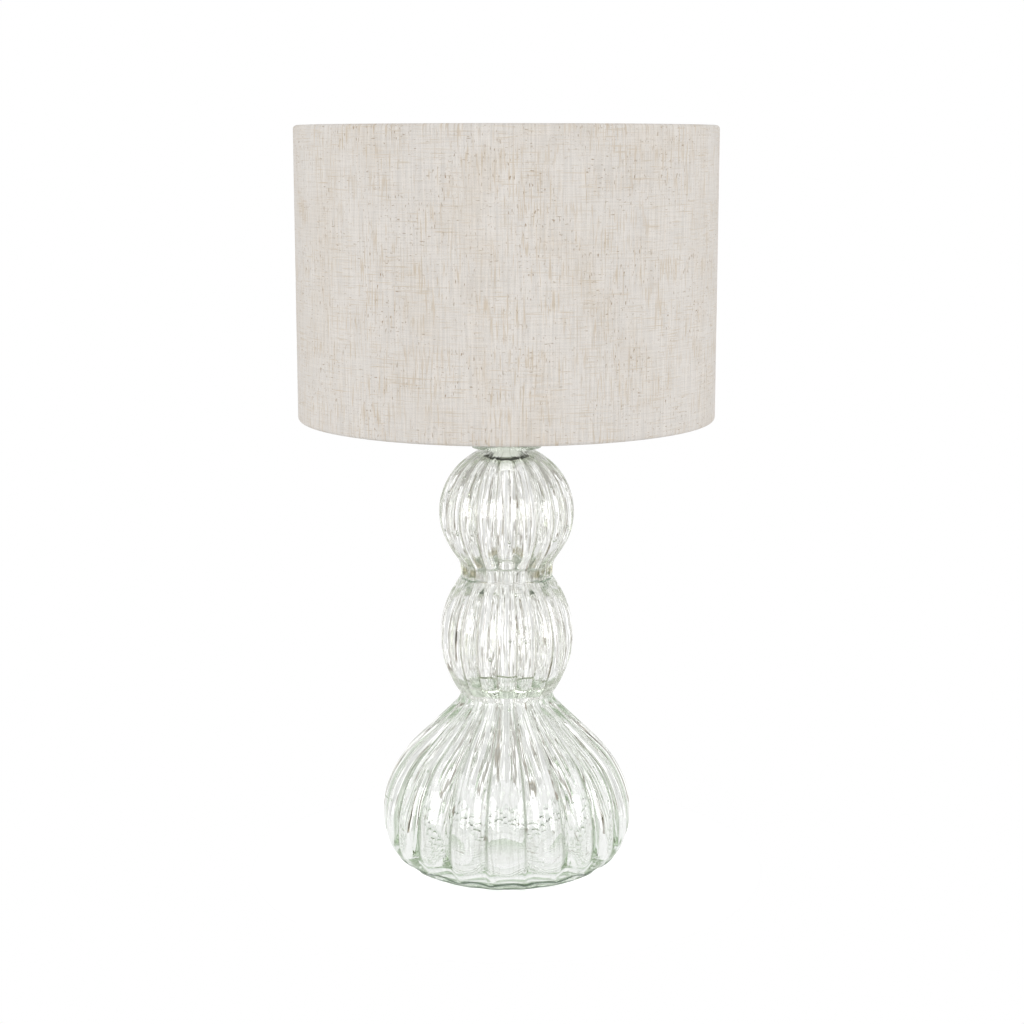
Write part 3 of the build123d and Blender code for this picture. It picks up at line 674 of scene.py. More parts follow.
def inside_of(glass, points, low_wall, high_wall):
    """Outline one wall in from the valleys of another, from bottom to top."""
    depths = flute_depths(glass, points)
    inner = []
    last = len(points) - 1
    for index, place in enumerate(places_along(points)):
        before, after = points[max(index - 1, 0)], points[min(index + 1, last)]
        run, rise = after[0] - before[0], after[1] - before[1]
        length = hypot(run, rise)
        end_wall = low_wall if place < 0.5 else high_wall
        radius, height = points[index]
        depth = glass.wall + (end_wall - glass.wall) * abs(2 * place - 1) ** 3
        depth += depths[index] * radius
        inner.append((radius - depth * rise / length, height + depth * run / length))
    return inner


def eased_in(distance, run):
    """Share that rises softly from 0 to 1 over a run."""
    share = min(max(distance / run, 0.0), 1.0)
    return share * share * (3 - 2 * share)


def led_to_bore(points, seam, bore):
    """Inner outline that runs into a bonded rim's bore with no step."""
    return [(bore + (radius - bore) * eased_in(abs(height - seam), SEAM_RUN), height)
            for radius, height in points]


def inner_unevenness(points, *seams):
    """Unevenness of the inner wall, fading out towards the seams."""
    return [INNER_UNEVENNESS * min(eased_in(abs(height - seam), SEAM_RUN) for seam in seams)
            for _, height in points]


def waist_bore(glass):
    """Radius of the bore through a bonded waist."""
    return glass.waist_radius * (1 - glass.flute_depth_at_end) - glass.rim_wall


def rim(outer, inner, height, up):
    """Flat rim between an outer radius with a soft edge and an inner radius with a sharp one."""
    soft = RIM_SOFT
    step = -1 if up else 1
    return [
        (outer - soft * 0.3, height + step * soft * 0.3), (outer - soft, height),
        (outer - 3 * soft, height), ((outer + inner) / 2, height), (inner + 3 * soft, height),
        (inner + soft, height), (inner, height),
    ]


def rim_flutes(glass, halfway=0.7):
    """Flute depth at each point of such a rim, from outside to inside."""
    end = glass.flute_depth_at_end
    return [end] * 3 + [end * halfway] + [end * glass.inner_flutes] * 3


def flute_depths(glass, points):
    """Flute depth at each point of an outside, most at its middle and least at its ends."""
    depths = []
    for place in places_along(points):
        swell = sin(pi * place) ** 0.6 if 0 < place < 1 else 0.0
        depths.append(glass.flute_depth_at_end + (glass.flute_depth - glass.flute_depth_at_end) * swell)
    return depths


def lower_shell(glass, top):
    """Closed outline of the lower globe, from the punt round to the inside floor."""
    foot, punt = glass.foot_radius, glass.punt_radius
    outer = lower_outline(glass, top)
    depths = flute_depths(glass, outer)
    inner = inside_of(glass, outer, glass.foot_wall, glass.rim_wall)
    high = top - glass.bond_gap
    outer[-1] = (outer[-1][0], high - RIM_EDGE)
    bore = waist_bore(glass)
    under = [(0.0, glass.punt_depth)]
    for share in (0.25, 0.5, 0.75, 0.92, 1.0):
        under.append((punt * share, glass.punt_depth * (1 - share**2)))
    under += [((foot + punt) / 2, 0.0), (foot - 0.002, 0.0)]
    inner = led_to_bore(inner, top, bore)
    inside = [point for point in inner if point[1] < high - RIM_EDGE]
    floor = [(inside[0][0] * share, inside[0][1]) for share in (0.85, 0.6, 0.3, 0.0)]
    points = under + outer + rim(glass.waist_radius, bore, high, True) + inside[::-1] + floor
    inside_depths = [
        depths[inner.index(point)] * glass.inner_flutes * eased_in(point[1] - glass.foot_wall, FOOT_RUN)
        for point in inside
    ]
    flute = (
        [0.0] * (len(under) + 1)
        + [depth * eased_in(height, FOOT_RUN) for depth, (_, height) in zip(depths[1:], outer[1:])]
        + rim_flutes(glass, 0.5) + inside_depths[::-1] + [inside_depths[0] * 0.5]
        + [0.0] * (len(floor) - 1)
    )
    waves = [min(eased_in(height - WAVE_LOW, WAVE_RISE), eased_in(WAVE_HIGH - height, WAVE_FADE))
             for _, height in outer]
    rings = [0.0] * len(under) + waves + [0.0] * (len(points) - len(under) - len(outer))
    uneven = (
        [0.0] * len(under) + [OUTER_UNEVENNESS * eased_in(height, FOOT_EASE) for _, height in outer]
        + RIM_UNEVENNESS + inner_unevenness(inside[::-1], top) + [1.0, 0.6, 0.3, 0.0]
    )
    return points, flute, uneven, rings


def open_shell(glass, outer, low, high, inner_low, seams, neck_wall=None):
    """Closed outline of a globe that is open at both rims."""
    depths = flute_depths(glass, outer)
    inner = inside_of(glass, outer, glass.rim_wall, neck_wall or glass.rim_wall)
    for seam in seams:
        inner = led_to_bore(inner, seam, inner_low)
    low_edge, high_edge = low + RIM_EDGE, high - RIM_EDGE
    kept, held = (
        [index for index, point in enumerate(points) if low_edge < point[1] < high_edge]
        for points in (outer, inner)
    )
    outside = [(outer[0][0], low_edge)] + [outer[index] for index in kept] + [(outer[-1][0], high_edge)]
    inside = [inner[index] for index in held]
    outside_depths = [depths[0]] + [depths[index] for index in kept] + [depths[-1]]
    inside_depths = [depths[index] * glass.inner_flutes for index in held]
    bottom = rim(outer[0][0], inner_low, low, False)[::-1]
    return outside, inside, outside_depths, inside_depths, bottom


def middle_shell(glass, bottom, top):
    """Closed outline of the middle globe."""
    low, high = bottom + glass.bond_gap, top - glass.bond_gap
    bore = waist_bore(glass)
    outside, inside, out_depths, in_depths, under = open_shell(
        glass, middle_outline(glass, bottom, top), low, high, bore, (bottom, top))
    over = rim(glass.waist_radius, bore, high, True)
    points = outside + over + inside[::-1] + under
    flute = out_depths + rim_flutes(glass) + in_depths[::-1] + rim_flutes(glass)[::-1]
    uneven = ([OUTER_UNEVENNESS] * len(outside) + RIM_UNEVENNESS
              + inner_unevenness(inside[::-1], bottom, top) + RIM_UNEVENNESS[::-1])
    return points + points[:1], flute + flute[:1], uneven + uneven[:1]


def upper_shell(glass, bottom, lip_top):
    """Closed outline of the upper globe with its neck and flared lip."""
    low = bottom + glass.bond_gap
    outer = upper_outline(glass, bottom)
    neck = outer[-1][1]
    outside, inside, out_depths, in_depths, under = open_shell(
        glass, outer, low, neck + NECK_EDGE, waist_bore(glass), (bottom,),
        glass.neck_radius - glass.neck_bore)
    core, bore, flared = glass.neck_radius, glass.neck_bore, glass.lip_radius
    soft, edge = LIP_SOFT, BORE_SOFT
    inside = [point for point in inside if point[0] > bore + edge]
    in_depths = in_depths[:len(inside)]
    lip = [(core + (flared - core) * share, neck + glass.lip_flare * sqrt(share))
           for share in (0.15, 0.35, 0.6, 0.85, 1.0)]
    for turn in map(radians, (0, 30, 60, 90)):
        lip.append((flared - soft * (1 - cos(turn)), lip_top - soft * (1 - sin(turn))))
    lip += [
        ((flared + bore) / 2, lip_top), (bore + edge, lip_top), (bore + 0.2 * edge, lip_top - 0.2 * edge),
        (bore, lip_top - edge), (bore, neck + glass.lip_flare), (bore, neck - 4 * edge),
    ]
    points = outside + lip + inside[::-1] + under
    lip_flutes = [glass.flute_depth_at_end * share for share in (1, 0.7, 0.4, 0.2)]
    lip_flutes += [0.0] * (len(lip) - len(lip_flutes))
    flute = out_depths + lip_flutes + in_depths[::-1] + rim_flutes(glass)[::-1]
    uneven = ([OUTER_UNEVENNESS] * (len(outside) - 1) + [0.0] * (len(lip) + 1)
              + inner_unevenness(inside[::-1], bottom) + RIM_UNEVENNESS[::-1])
    return points + points[:1], flute + flute[:1], uneven + uneven[:1]


# ---- shader groups --------------------------------------------------------------------------------
def linen_weave_group():
    """Plain weave with thin and thick threads, darker slubs both ways and a little unevenness."""
    tree, given, result = new_group("Linen weave", "ShaderNodeTree", {
        "Vector": "Vector", "Pitch": 0.00085, "Ground": (0.7, 0.66, 0.62, 1),
        "Slub": (0.4, 0.3, 0.2, 1), "Knot": (0.2, 0.15, 0.1, 1),
    }, {"Color": "Color", "Height": "Float"})
    vector = given["Vector"]
    # Threads: rounded ridges each way.
    ridges = []
    for value in axes_of(tree, vector)[:2]:
        jitter = streaks(tree, vector, 90, 90, 1.0)
        count = times_plus(tree, jitter, 1.3, maths(tree, "DIVIDE", value, given["Pitch"]))
        ridges.append(maths(tree, "ABSOLUTE", maths(tree, "SINE", times(tree, count, pi))))
    weave = times(tree, *ridges)
    # Single threads are lighter or darker along a few centimetres, with a fine grain over them.
    warp = streaks(tree, vector, 700, 26)
    weft = streaks(tree, vector, 24, 820)
    fuzz = streaks(tree, vector, 1250, 1250, 1.0)
    threads = plus(tree, times(tree, warp, 0.45), times(tree, weft, 0.25))
    shade = times_plus(tree, fuzz, 0.30, threads)
    light = between(tree, shade, 0.36, 0.64, 0.88, 1.06)
    # The threads' own tone, with painted shade between the threads and a little painted light on them.
    thread_tone_and_weave_shade = times(tree, light, between(tree, weave, 0.0, 0.6, 0.96, 1.02))
    # Slubs: thick tan stretches of a thread, denser in some places, and a few dark knots.
    slubs = knots = 0.0
    for across, up, low, high, strength, spot in (
        (46, 900, 0.58, 0.68, 0.75, 11), (680, 46, 0.54, 0.65, 0.85, 23),
        (30, 820, 0.61, 0.69, 0.9, 67), (560, 30, 0.59, 0.68, 0.9, 83),
        (190, 760, 0.645, 0.72, 1.0, 37), (700, 190, 0.63, 0.71, 1.0, 51),
    ):
        place = vector_maths(tree, "ADD", vector, (spot * 0.1, spot * 0.07, 0))
        streak = between(tree, streaks(tree, place, across, up, 1.5, 0.6), low, high)
        denser = between(tree, streaks(tree, place, 26, 26), 0.38, 0.62, 0.10, 1.0)
        streak = times(tree, times(tree, streak, denser), strength)
        slubs = larger(tree, slubs, streak)
        if strength == 1.0:
            knots = larger(tree, knots, streak)
    clouds = between(tree, streaks(tree, vector, 22, 15, 3.0), 0.45, 0.70, 0.0, 0.13)
    ground = mixed(tree, clouds, given["Ground"], given["Slub"])
    ground = mixed(tree, 1.0, ground, vector_of(tree, thread_tone_and_weave_shade, thread_tone_and_weave_shade, thread_tone_and_weave_shade), "MULTIPLY")
    dashed = mixed(tree, times(tree, slubs, 0.56), ground, given["Slub"])
    tree.links.new(mixed(tree, times(tree, knots, 0.55), dashed, given["Knot"]), result["Color"])
    height = plus(tree, weave, times(tree, slubs, 0.8))
    tree.links.new(plus(tree, height, times(tree, shade, 0.6)), result["Height"])
    return tree


def glass_painted_shade_group():
    """Painted shade in ribbed glass: thin lines along and beside the valleys, dark strokes, and rings at the
    foot.
    """
    tree, given, result = new_group("Glass lines", "ShaderNodeTree", {
        "Vector": "Vector", "Valley": 0.0, "Height": 0.0, "Ringed": 0.0,
        "Crease Shade": (0.6, 0.6, 0.55, 1), "Rings": (0.5, 0.6, 0.5, 1), "Place": "Vector",
    }, {"Color": "Color"})
    vector, valley = given["Vector"], given["Valley"]

    def gaps(scale, low, high, shift):
        """Where a line is drawn and where it fades out."""
        place = vector_maths(tree, "ADD", vector, (shift, shift, 0))
        return between(tree, streaks(tree, place, *scale), low, high)

    def line(value, centre, width):
        """One at a value, and nothing a width away from it."""
        away = maths(tree, "ABSOLUTE", minus(tree, value, centre))
        return between(tree, away, width, width * 0.3)

    # Painted shade: dark creases in the flute valleys, above the foot.
    above_foot = between(tree, given["Height"], 0.016, 0.044)
    crease_shade = times(tree, between(tree, valley, 0.70, 0.92), gaps((70, 20), 0.30, 0.52, 0.0))
    crease_shade = times(tree, crease_shade, above_foot)
    # Painted shade lines beside the valleys and along the crests, painted shade streaks, and small dark
    # flecks.
    bent = times_plus(tree, minus(tree, streaks(tree, vector, 60, 24), 0.5), 0.5, valley)
    beside = times(tree, line(bent, 0.42, 0.07), gaps((90, 26), 0.40, 0.58, 0.7))
    crest = times(tree, line(bent, 0.12, 0.035), gaps((90, 22), 0.44, 0.62, 1.3))
    striae = between(tree, streaks(tree, vector, 520, 9, 3.0, 0.6), 0.54, 0.70)
    thin = larger(tree, larger(tree, beside, times(tree, crest, 0.7)), times(tree, striae, 0.6))
    # Painted shade: short dark strokes in some valleys.
    stroke_shade = times(tree, between(tree, valley, 0.66, 0.82), gaps((48, 30), 0.62, 0.67, 2.1))
    cells = add(tree, "ShaderNodeTexVoronoi", {"Vector": stretched(tree, vector, (48, 48, 1)), "Scale": 1.0})
    picked = add(tree, "ShaderNodeSeparateColor", {"Color": cells.outputs["Color"]}).outputs["Red"]
    fleck = times(tree, between(tree, cells.outputs["Distance"], 0.034, 0.018),
                  maths(tree, "GREATER_THAN", picked, 0.78))
    # Painted shade in rings along the foot's waves, darker on the near wall than seen through the glass.
    rings = times(tree, between(tree, given["Ringed"], 0.02, 0.36), gaps((60, 60), 0.20, 0.40, 5.1))
    # Painted olive shade just above the upper seam at the left and right sides, and a painted dark seam line
    # there.
    outward = axes_of(tree, outward_from_axis(tree, given["Place"]))[0]
    aside = between(tree, maths(tree, "ABSOLUTE", outward), 0.50, 0.74)
    above = minus(tree, given["Height"], SEAMS[1])
    side_shade = times(tree, line(above, 0.0065, 0.006), gaps((130, 55), 0.38, 0.52, 3.7))
    colour = WHITE
    for share, tint in (
        (larger(tree, thin, fleck), LINE_SHADE_TINT), (crease_shade, given["Crease Shade"]), (rings, given["Rings"]),
        (times(tree, side_shade, aside), SIDE_SHADE_TINT), (times(tree, line(above, 0.0, 0.0012), aside), SEAM_SHADE_TINT),
        (stroke_shade, STROKE_SHADE_TINT),
    ):
        colour = mixed(tree, share, colour, tint)
    tree.links.new(colour, result["Color"])
    return tree


def surface_grain_group():
    """Fine moulding or plating grain, with soft handling marks."""
    tree, given, result = new_group("Surface grain", "ShaderNodeTree", {
        "Vector": "Vector", "Color": (0.8, 0.8, 0.8, 1), "Grain": 900.0, "Roughness": 0.4,
        "Spread": 0.1,
    }, {"Color": "Color", "Roughness": "Float", "Height": "Float"})
    fine = noise(tree, given["Vector"], given["Grain"], 3.0)
    marks = noise(tree, given["Vector"], 45.0, 4.0, 0.6)
    tone = between(tree, marks, 0.3, 0.7, 0.94, 1.03)
    grey = vector_of(tree, tone, tone, tone)
    tree.links.new(mixed(tree, 1.0, given["Color"], grey, "MULTIPLY"), result["Color"])
    rough = times_plus(tree, minus(tree, marks, 0.5), given["Spread"], given["Roughness"])
    tree.links.new(rough, result["Roughness"])
    tree.links.new(fine, result["Height"])
    return tree


# ---- materials ------------------------------------------------------------------------------------
def blank_material(name):
    """Material with a lone Principled shader and Object coordinates."""
    material = bpy.data.materials.new(name)
    material.use_nodes = True
    tree = material.node_tree
    return material, tree, tree.nodes["Principled BSDF"], add(tree, "ShaderNodeTexCoord").outputs["Object"]


def grained_material(name, colour, roughness, grain=900.0, metallic=0.0, bump=0.05, spread=0.1):
    """Plastic, metal or rubber finish from the shared grain."""
    material, tree, shader, coordinates = blank_material(name)
    grained = group_outputs(tree, "Surface grain", surface_grain_group, {
        "Vector": coordinates, "Color": opaque(colour), "Grain": grain, "Roughness": roughness,
        "Spread": spread,
    })
    feed(tree, shader, {
        "Base Color": grained["Color"], "Roughness": grained["Roughness"], "Metallic": metallic,
    })
    raise_surface(tree, shader, grained["Height"], strength=bump, distance=0.0004)
    return material


def glass_material(name, tint, density, crease_shade_tint=(0.62, 0.62, 0.56), ior=GLASS_IOR, lined=True,
                   spent_tint=(0.78, 0.80, 0.74)):
    """Clear blown glass, tinted only where it is thick. Lined glass has painted shade lines and streaks, and
    blurred waists.
    """
    material, tree, shader, coordinates = blank_material(name)
    path = add(tree, "ShaderNodeLightPath").outputs
    feed(tree, shader, {"Roughness": 0.0, "IOR": ior, "Transmission Weight": 1.0})
    if lined:
        unwrapped = add(tree, "ShaderNodeUVMap", uv_map="unwrapped").outputs[0]
        drawn = streaks(tree, unwrapped, 220, 16)
        height = axes_of(tree, coordinates)[2]
        valley, ringed = (
            add(tree, "ShaderNodeAttribute", attribute_name=label).outputs["Fac"]
            for label in ("valley", "ringed")
        )
        near = maths(tree, "LESS_THAN", path["Ray Depth"], 1.5)
        # Painted shade over the clear glass: lines, strokes, rings at the foot and shade beside the upper
        # seam.
        lines = group_outputs(tree, "Glass lines", glass_painted_shade_group, {
            "Vector": unwrapped, "Valley": valley, "Ringed": ringed, "Height": height,
            "Place": coordinates, "Crease Shade": opaque(crease_shade_tint),
            "Rings": mixed(tree, near, FAR_WAVE_SHADE_TINT, NEAR_WAVE_SHADE_TINT),
        })
        seams = 0.0
        for seam in SEAMS:
            away = maths(tree, "ABSOLUTE", minus(tree, height, seam))
            seams = larger(tree, seams, between(tree, away, 0.011, 0.004))
        feed(tree, shader, {
            "Base Color": lines["Color"], "Roughness": times(tree, seams, SEAM_BLUR),
        })
    else:
        drawn = noise(tree, coordinates, 200.0)
    raise_surface(tree, shader, drawn, strength=0.35, distance=0.0009)
    # A lit globe lets nearly all light through to what lies behind it, and so does light that has
    # already been turned many times inside the walls.
    spent = maths(tree, "GREATER_THAN", path["Ray Depth"], LONGEST_PATH)
    clear = add(tree, "ShaderNodeBsdfTransparent", {
        "Color": mixed(tree, spent, (0.97, 0.98, 0.97), spent_tint),
    })
    both = add(tree, "ShaderNodeMixShader", {
        0: larger(tree, path["Is Shadow Ray"], spent), 1: shader.outputs[0], 2: clear.outputs[0],
    })
    output = tree.nodes["Material Output"]
    feed(tree, output, {"Surface": both.outputs[0]})
    if density:
        thick = add(tree, "ShaderNodeVolumeAbsorption", {"Color": opaque(tint), "Density": density})
        feed(tree, output, {"Volume": thick.outputs[0]})
    return material


def linen_material(shade):
    """Oatmeal linen on its own unwrapped metres."""
    material, tree, shader, _ = blank_material("linen")
    cloth = group_outputs(tree, "Linen weave", linen_weave_group, {
        "Vector": add(tree, "ShaderNodeUVMap", uv_map="unwrapped").outputs[0],
        "Pitch": shade.thread_pitch, "Ground": opaque(shade.linen_colour),
        "Slub": opaque(shade.slub_colour), "Knot": opaque(shade.knot_colour),
    })
    feed(tree, shader, {
        "Base Color": cloth["Color"], "Roughness": 0.9, "Specular IOR Level": 0.25, "Sheen Weight": 0.15,
    })
    raise_surface(tree, shader, cloth["Height"], strength=0.35, distance=0.0003)
    return material


# ---- operators ------------------------------------------------------------------------------------
class LAMP_OT_stage(bpy.types.Operator):
    """Floor, soft studio light and the camera"""

    bl_idname = "lamp.stage"
    bl_label = "Stage and camera"

    def execute(self, context):
        stage = context.scene.lamp_stage
        self.floor()
        self.lights()
        self.surroundings(context)
        camera = set_down("camera", bpy.data.cameras.new("camera"))
        camera.location = (stage.sideways, -stage.distance, stage.height)
        camera.rotation_euler = (pi / 2 - stage.tilt, 0, 0)
        camera.data.sensor_width = SENSOR_WIDTH
        camera.data.lens = SENSOR_WIDTH * stage.focal_pixels / PHOTO_WIDTH
        context.scene.camera = camera
        context.scene.view_settings.view_transform = "Standard"
        return {"FINISHED"}

    def floor(self):
        """Pale disc as white as what lies behind it, which keeps the lamp's shadow."""
        mesh = bpy.data.meshes.new("floor")
        turns = [2 * pi * step / FLOOR_SIDES for step in range(FLOOR_SIDES)]
        mesh.from_pydata([(FLOOR_RADIUS * cos(turn), FLOOR_RADIUS * sin(turn), 0) for turn in turns], [],
                         [tuple(range(FLOOR_SIDES))])
        floor = set_down("floor", mesh)
        material, tree, shader, _ = blank_material("floor")
        path = add(tree, "ShaderNodeLightPath").outputs
        bent = larger(tree, path["Is Glossy Ray"], path["Is Transmission Ray"])
        feed(tree, shader, {
            "Roughness": 1.0, "Specular IOR Level": 0.0, "Emission Color": opaque(WHITE),
            "Base Color": mixed(tree, bent, (0.86, 0.86, 0.86), (0.10, 0.10, 0.10)),
            "Emission Strength": times_plus(tree, path["Is Camera Ray"], 0.5, times(tree, bent, 0.88)),
        })
        mesh.materials.append(material)

    def lights(self):
        """Two soft boxes beside the lamp, two narrow ones before it and one above it."""
        for name, place, aim, size, power in (
            ("left_box", (-2.0, -1.3, 0.7), (0, 0, 0.4), (0.8, 1.2), 21.0),
            ("right_box", (2.0, -1.2, 0.6), (0, 0, 0.4), (0.8, 1.2), 20.0),
            ("left_strip", (-1.25, -1.85, 0.6), (0, 0, 0.3), (0.22, 0.9), 3.6),
            ("right_strip", (1.25, -1.85, 0.6), (0, 0, 0.3), (0.22, 0.9), 3.6),
            ("top_box", (0.1, 0.2, 2.4), (0, 0, 0.3), (1.2, 1.2), 5.0),
        ):
            lamp = bpy.data.lights.new(name, "AREA")
            lamp.shape = "RECTANGLE"
            lamp.size, lamp.size_y = size
            lamp.energy = power
            box = set_down(name, lamp)
            box.location = place
            box.rotation_euler = (Vector(place) - Vector(aim)).to_track_quat("Z", "Y").to_euler()

    def surroundings(self, context):
        """White to look at, plain light, and soft grey panels for the glass to bend."""
        world = bpy.data.worlds.new("studio")
        context.scene.world = world
        world.use_nodes = True
        tree = world.node_tree
        lighting = tree.nodes["Background"]
        feed(tree, lighting, {"Color": opaque(WHITE), "Strength": ROOM_LIGHT})
        path = add(tree, "ShaderNodeLightPath").outputs
        direction = add(tree, "ShaderNodeTexCoord").outputs["Generated"]
        x, y, z = axes_of(tree, direction)
        turn = maths(tree, "ARCTAN2", x, y)
        # White screens round the lamp, shaded towards their edges, with a narrow dark slit between two
        # of them. Each side view has the middle of a screen behind it.
        wave = maths(tree, "COSINE", times(tree, turn, SCREENS))
        shaded = times(tree, between(tree, wave, 0.5, -0.7), 0.09)
        folds = maths(tree, "COSINE", times_plus(tree, turn, FOLDS, 0.6))
        folded = times(tree, between(tree, folds, 0.1, 0.9), 0.22)
        patches = noise(tree, stretched(tree, direction, (5, 5, 3)), 1.0, 2.0)
        torn = between(tree, patches, 0.42, 0.58, 0.25, 0.95)
        tall = between(tree, maths(tree, "ABSOLUTE", plus(tree, z, 0.05)), 0.62, 0.40)
        soft_grey = times(tree, plus(tree, shaded, folded), tall)
        warm_edge, slit = (
            times(tree, times(tree, between(tree, wave, low, high), torn), tall)
            for low, high in ((-0.78, -0.90), (-0.88, -0.96))
        )
        grey = mixed(tree, soft_grey, (0.97, 0.97, 0.96), (0.20, 0.20, 0.19))
        grey = mixed(tree, warm_edge, grey, (0.62, 0.52, 0.36))
        grey = mixed(tree, slit, grey, (0.06, 0.055, 0.045))
        band = maths(tree, "MINIMUM", between(tree, wave, 0.45, 0.15), between(tree, wave, -0.72, -0.50))
        bright = times_plus(tree, times(tree, band, tall), 0.7, 0.86)
        bent = add(tree, "ShaderNodeBackground", {"Color": grey, "Strength": bright})
        white = add(tree, "ShaderNodeBackground", {"Color": opaque(WHITE), "Strength": 1.0})
        through = larger(tree, path["Is Glossy Ray"], path["Is Transmission Ray"])
        one = add(tree, "ShaderNodeMixShader", {0: through, 1: lighting.outputs[0], 2: bent.outputs[0]})
        two = add(tree, "ShaderNodeMixShader", {
            0: path["Is Camera Ray"], 1: one.outputs[0], 2: white.outputs[0],
        })
        feed(tree, tree.nodes["World Output"], {"Surface": two.outputs[0]})


class LAMP_OT_glass_globes(bpy.types.Operator):
    """The three fluted globes, each a closed shell with an uneven inner wall"""

    bl_idname = "lamp.glass_globes"
    bl_label = "Glass globes"

    def execute(self, context):
        glass = context.scene.lamp_glass
        materials = {}
        for kind, tint, density, looks in (
            ("green", glass.green_tint, GREEN_DENSITY,
             {"crease_shade_tint": (0.50, 0.54, 0.47), "spent_tint": (0.72, 0.77, 0.69)}),
            ("clear", glass.clear_tint, CLEAR_DENSITY, {}),
        ):
            materials[kind] = (
                glass_material(f"glass_{kind}", tint, density, **looks),
                glass_material(f"bond_{kind}", tint, density, ior=1.0, lined=False),
            )
        for part, kind, shell, seed in (
            ("lower", "green", lower_shell(glass, SEAMS[0]), 1.3),
            ("middle", "clear", middle_shell(glass, *SEAMS), 4.1),
            ("upper", "clear", upper_shell(glass, SEAMS[1], UPPER_BOX[1][2]), 4.1),
        ):
            material, glue = materials[kind]
            mesh = outline_mesh(f"glass_{part}", *shell)
            globe = grown(f"glass_{part}", mesh, once("Turned shell", turned_shell_tree), {
                "Segments": glass.flutes * COLUMNS, "Flutes": glass.flutes, "Wander": glass.wander,
                "Ripple": glass.ripple, "Waves": glass.foot_waves, "Seed": seed, "Material": material,
            })
            bond(globe, glue)
            dressed(globe, "base", f"glass_{kind}", f"{part}_globe")
        return {"FINISHED"}


class LAMP_OT_glass_seeds(bpy.types.Operator):
    """Small air bubbles caught in the glass walls"""

    bl_idname = "lamp.glass_seeds"
    bl_label = "Bubbles in the glass"

    def execute(self, context):
        glass = context.scene.lamp_glass
        air = glass_material("air_bubble", (1, 1, 1), 0.0, ior=1 / GLASS_IOR, lined=False)
        tree = air.node_tree
        # Painted shade round each bubble, darker towards its outline.
        edge = add(tree, "ShaderNodeLayerWeight", {"Blend": 0.5}).outputs["Facing"]
        rim_shade = mixed(tree, between(tree, edge, 0.25, 0.60), WHITE, BUBBLE_RIM_SHADE_TINT)
        feed(tree, tree.nodes["Principled BSDF"], {"Base Color": rim_shade})
        for part, box, seed, share in (
            ("lower", LOWER_BOX, 3, 0.2), ("middle", MIDDLE_BOX, 5, 0.3), ("upper", UPPER_BOX, 11, 1.0),
        ):
            shell = bpy.data.objects[f"glass_{part}"].data.copy()
            lowest, highest = box[0][2], box[1][2]
            seeds = grown(f"bubbles_{part}", shell, once("Glass seeds", bubbles_tree), {
                "Density": glass.bubbles * share, "Depth": glass.wall * 0.9, "Seed": seed, "Material": air,
                "Largest": glass.largest_bubble, "Lowest": lowest + BUBBLE_FLOOR * (highest - lowest),
            })
            dressed(seeds, "base", "glass_clear")
        return {"FINISHED"}


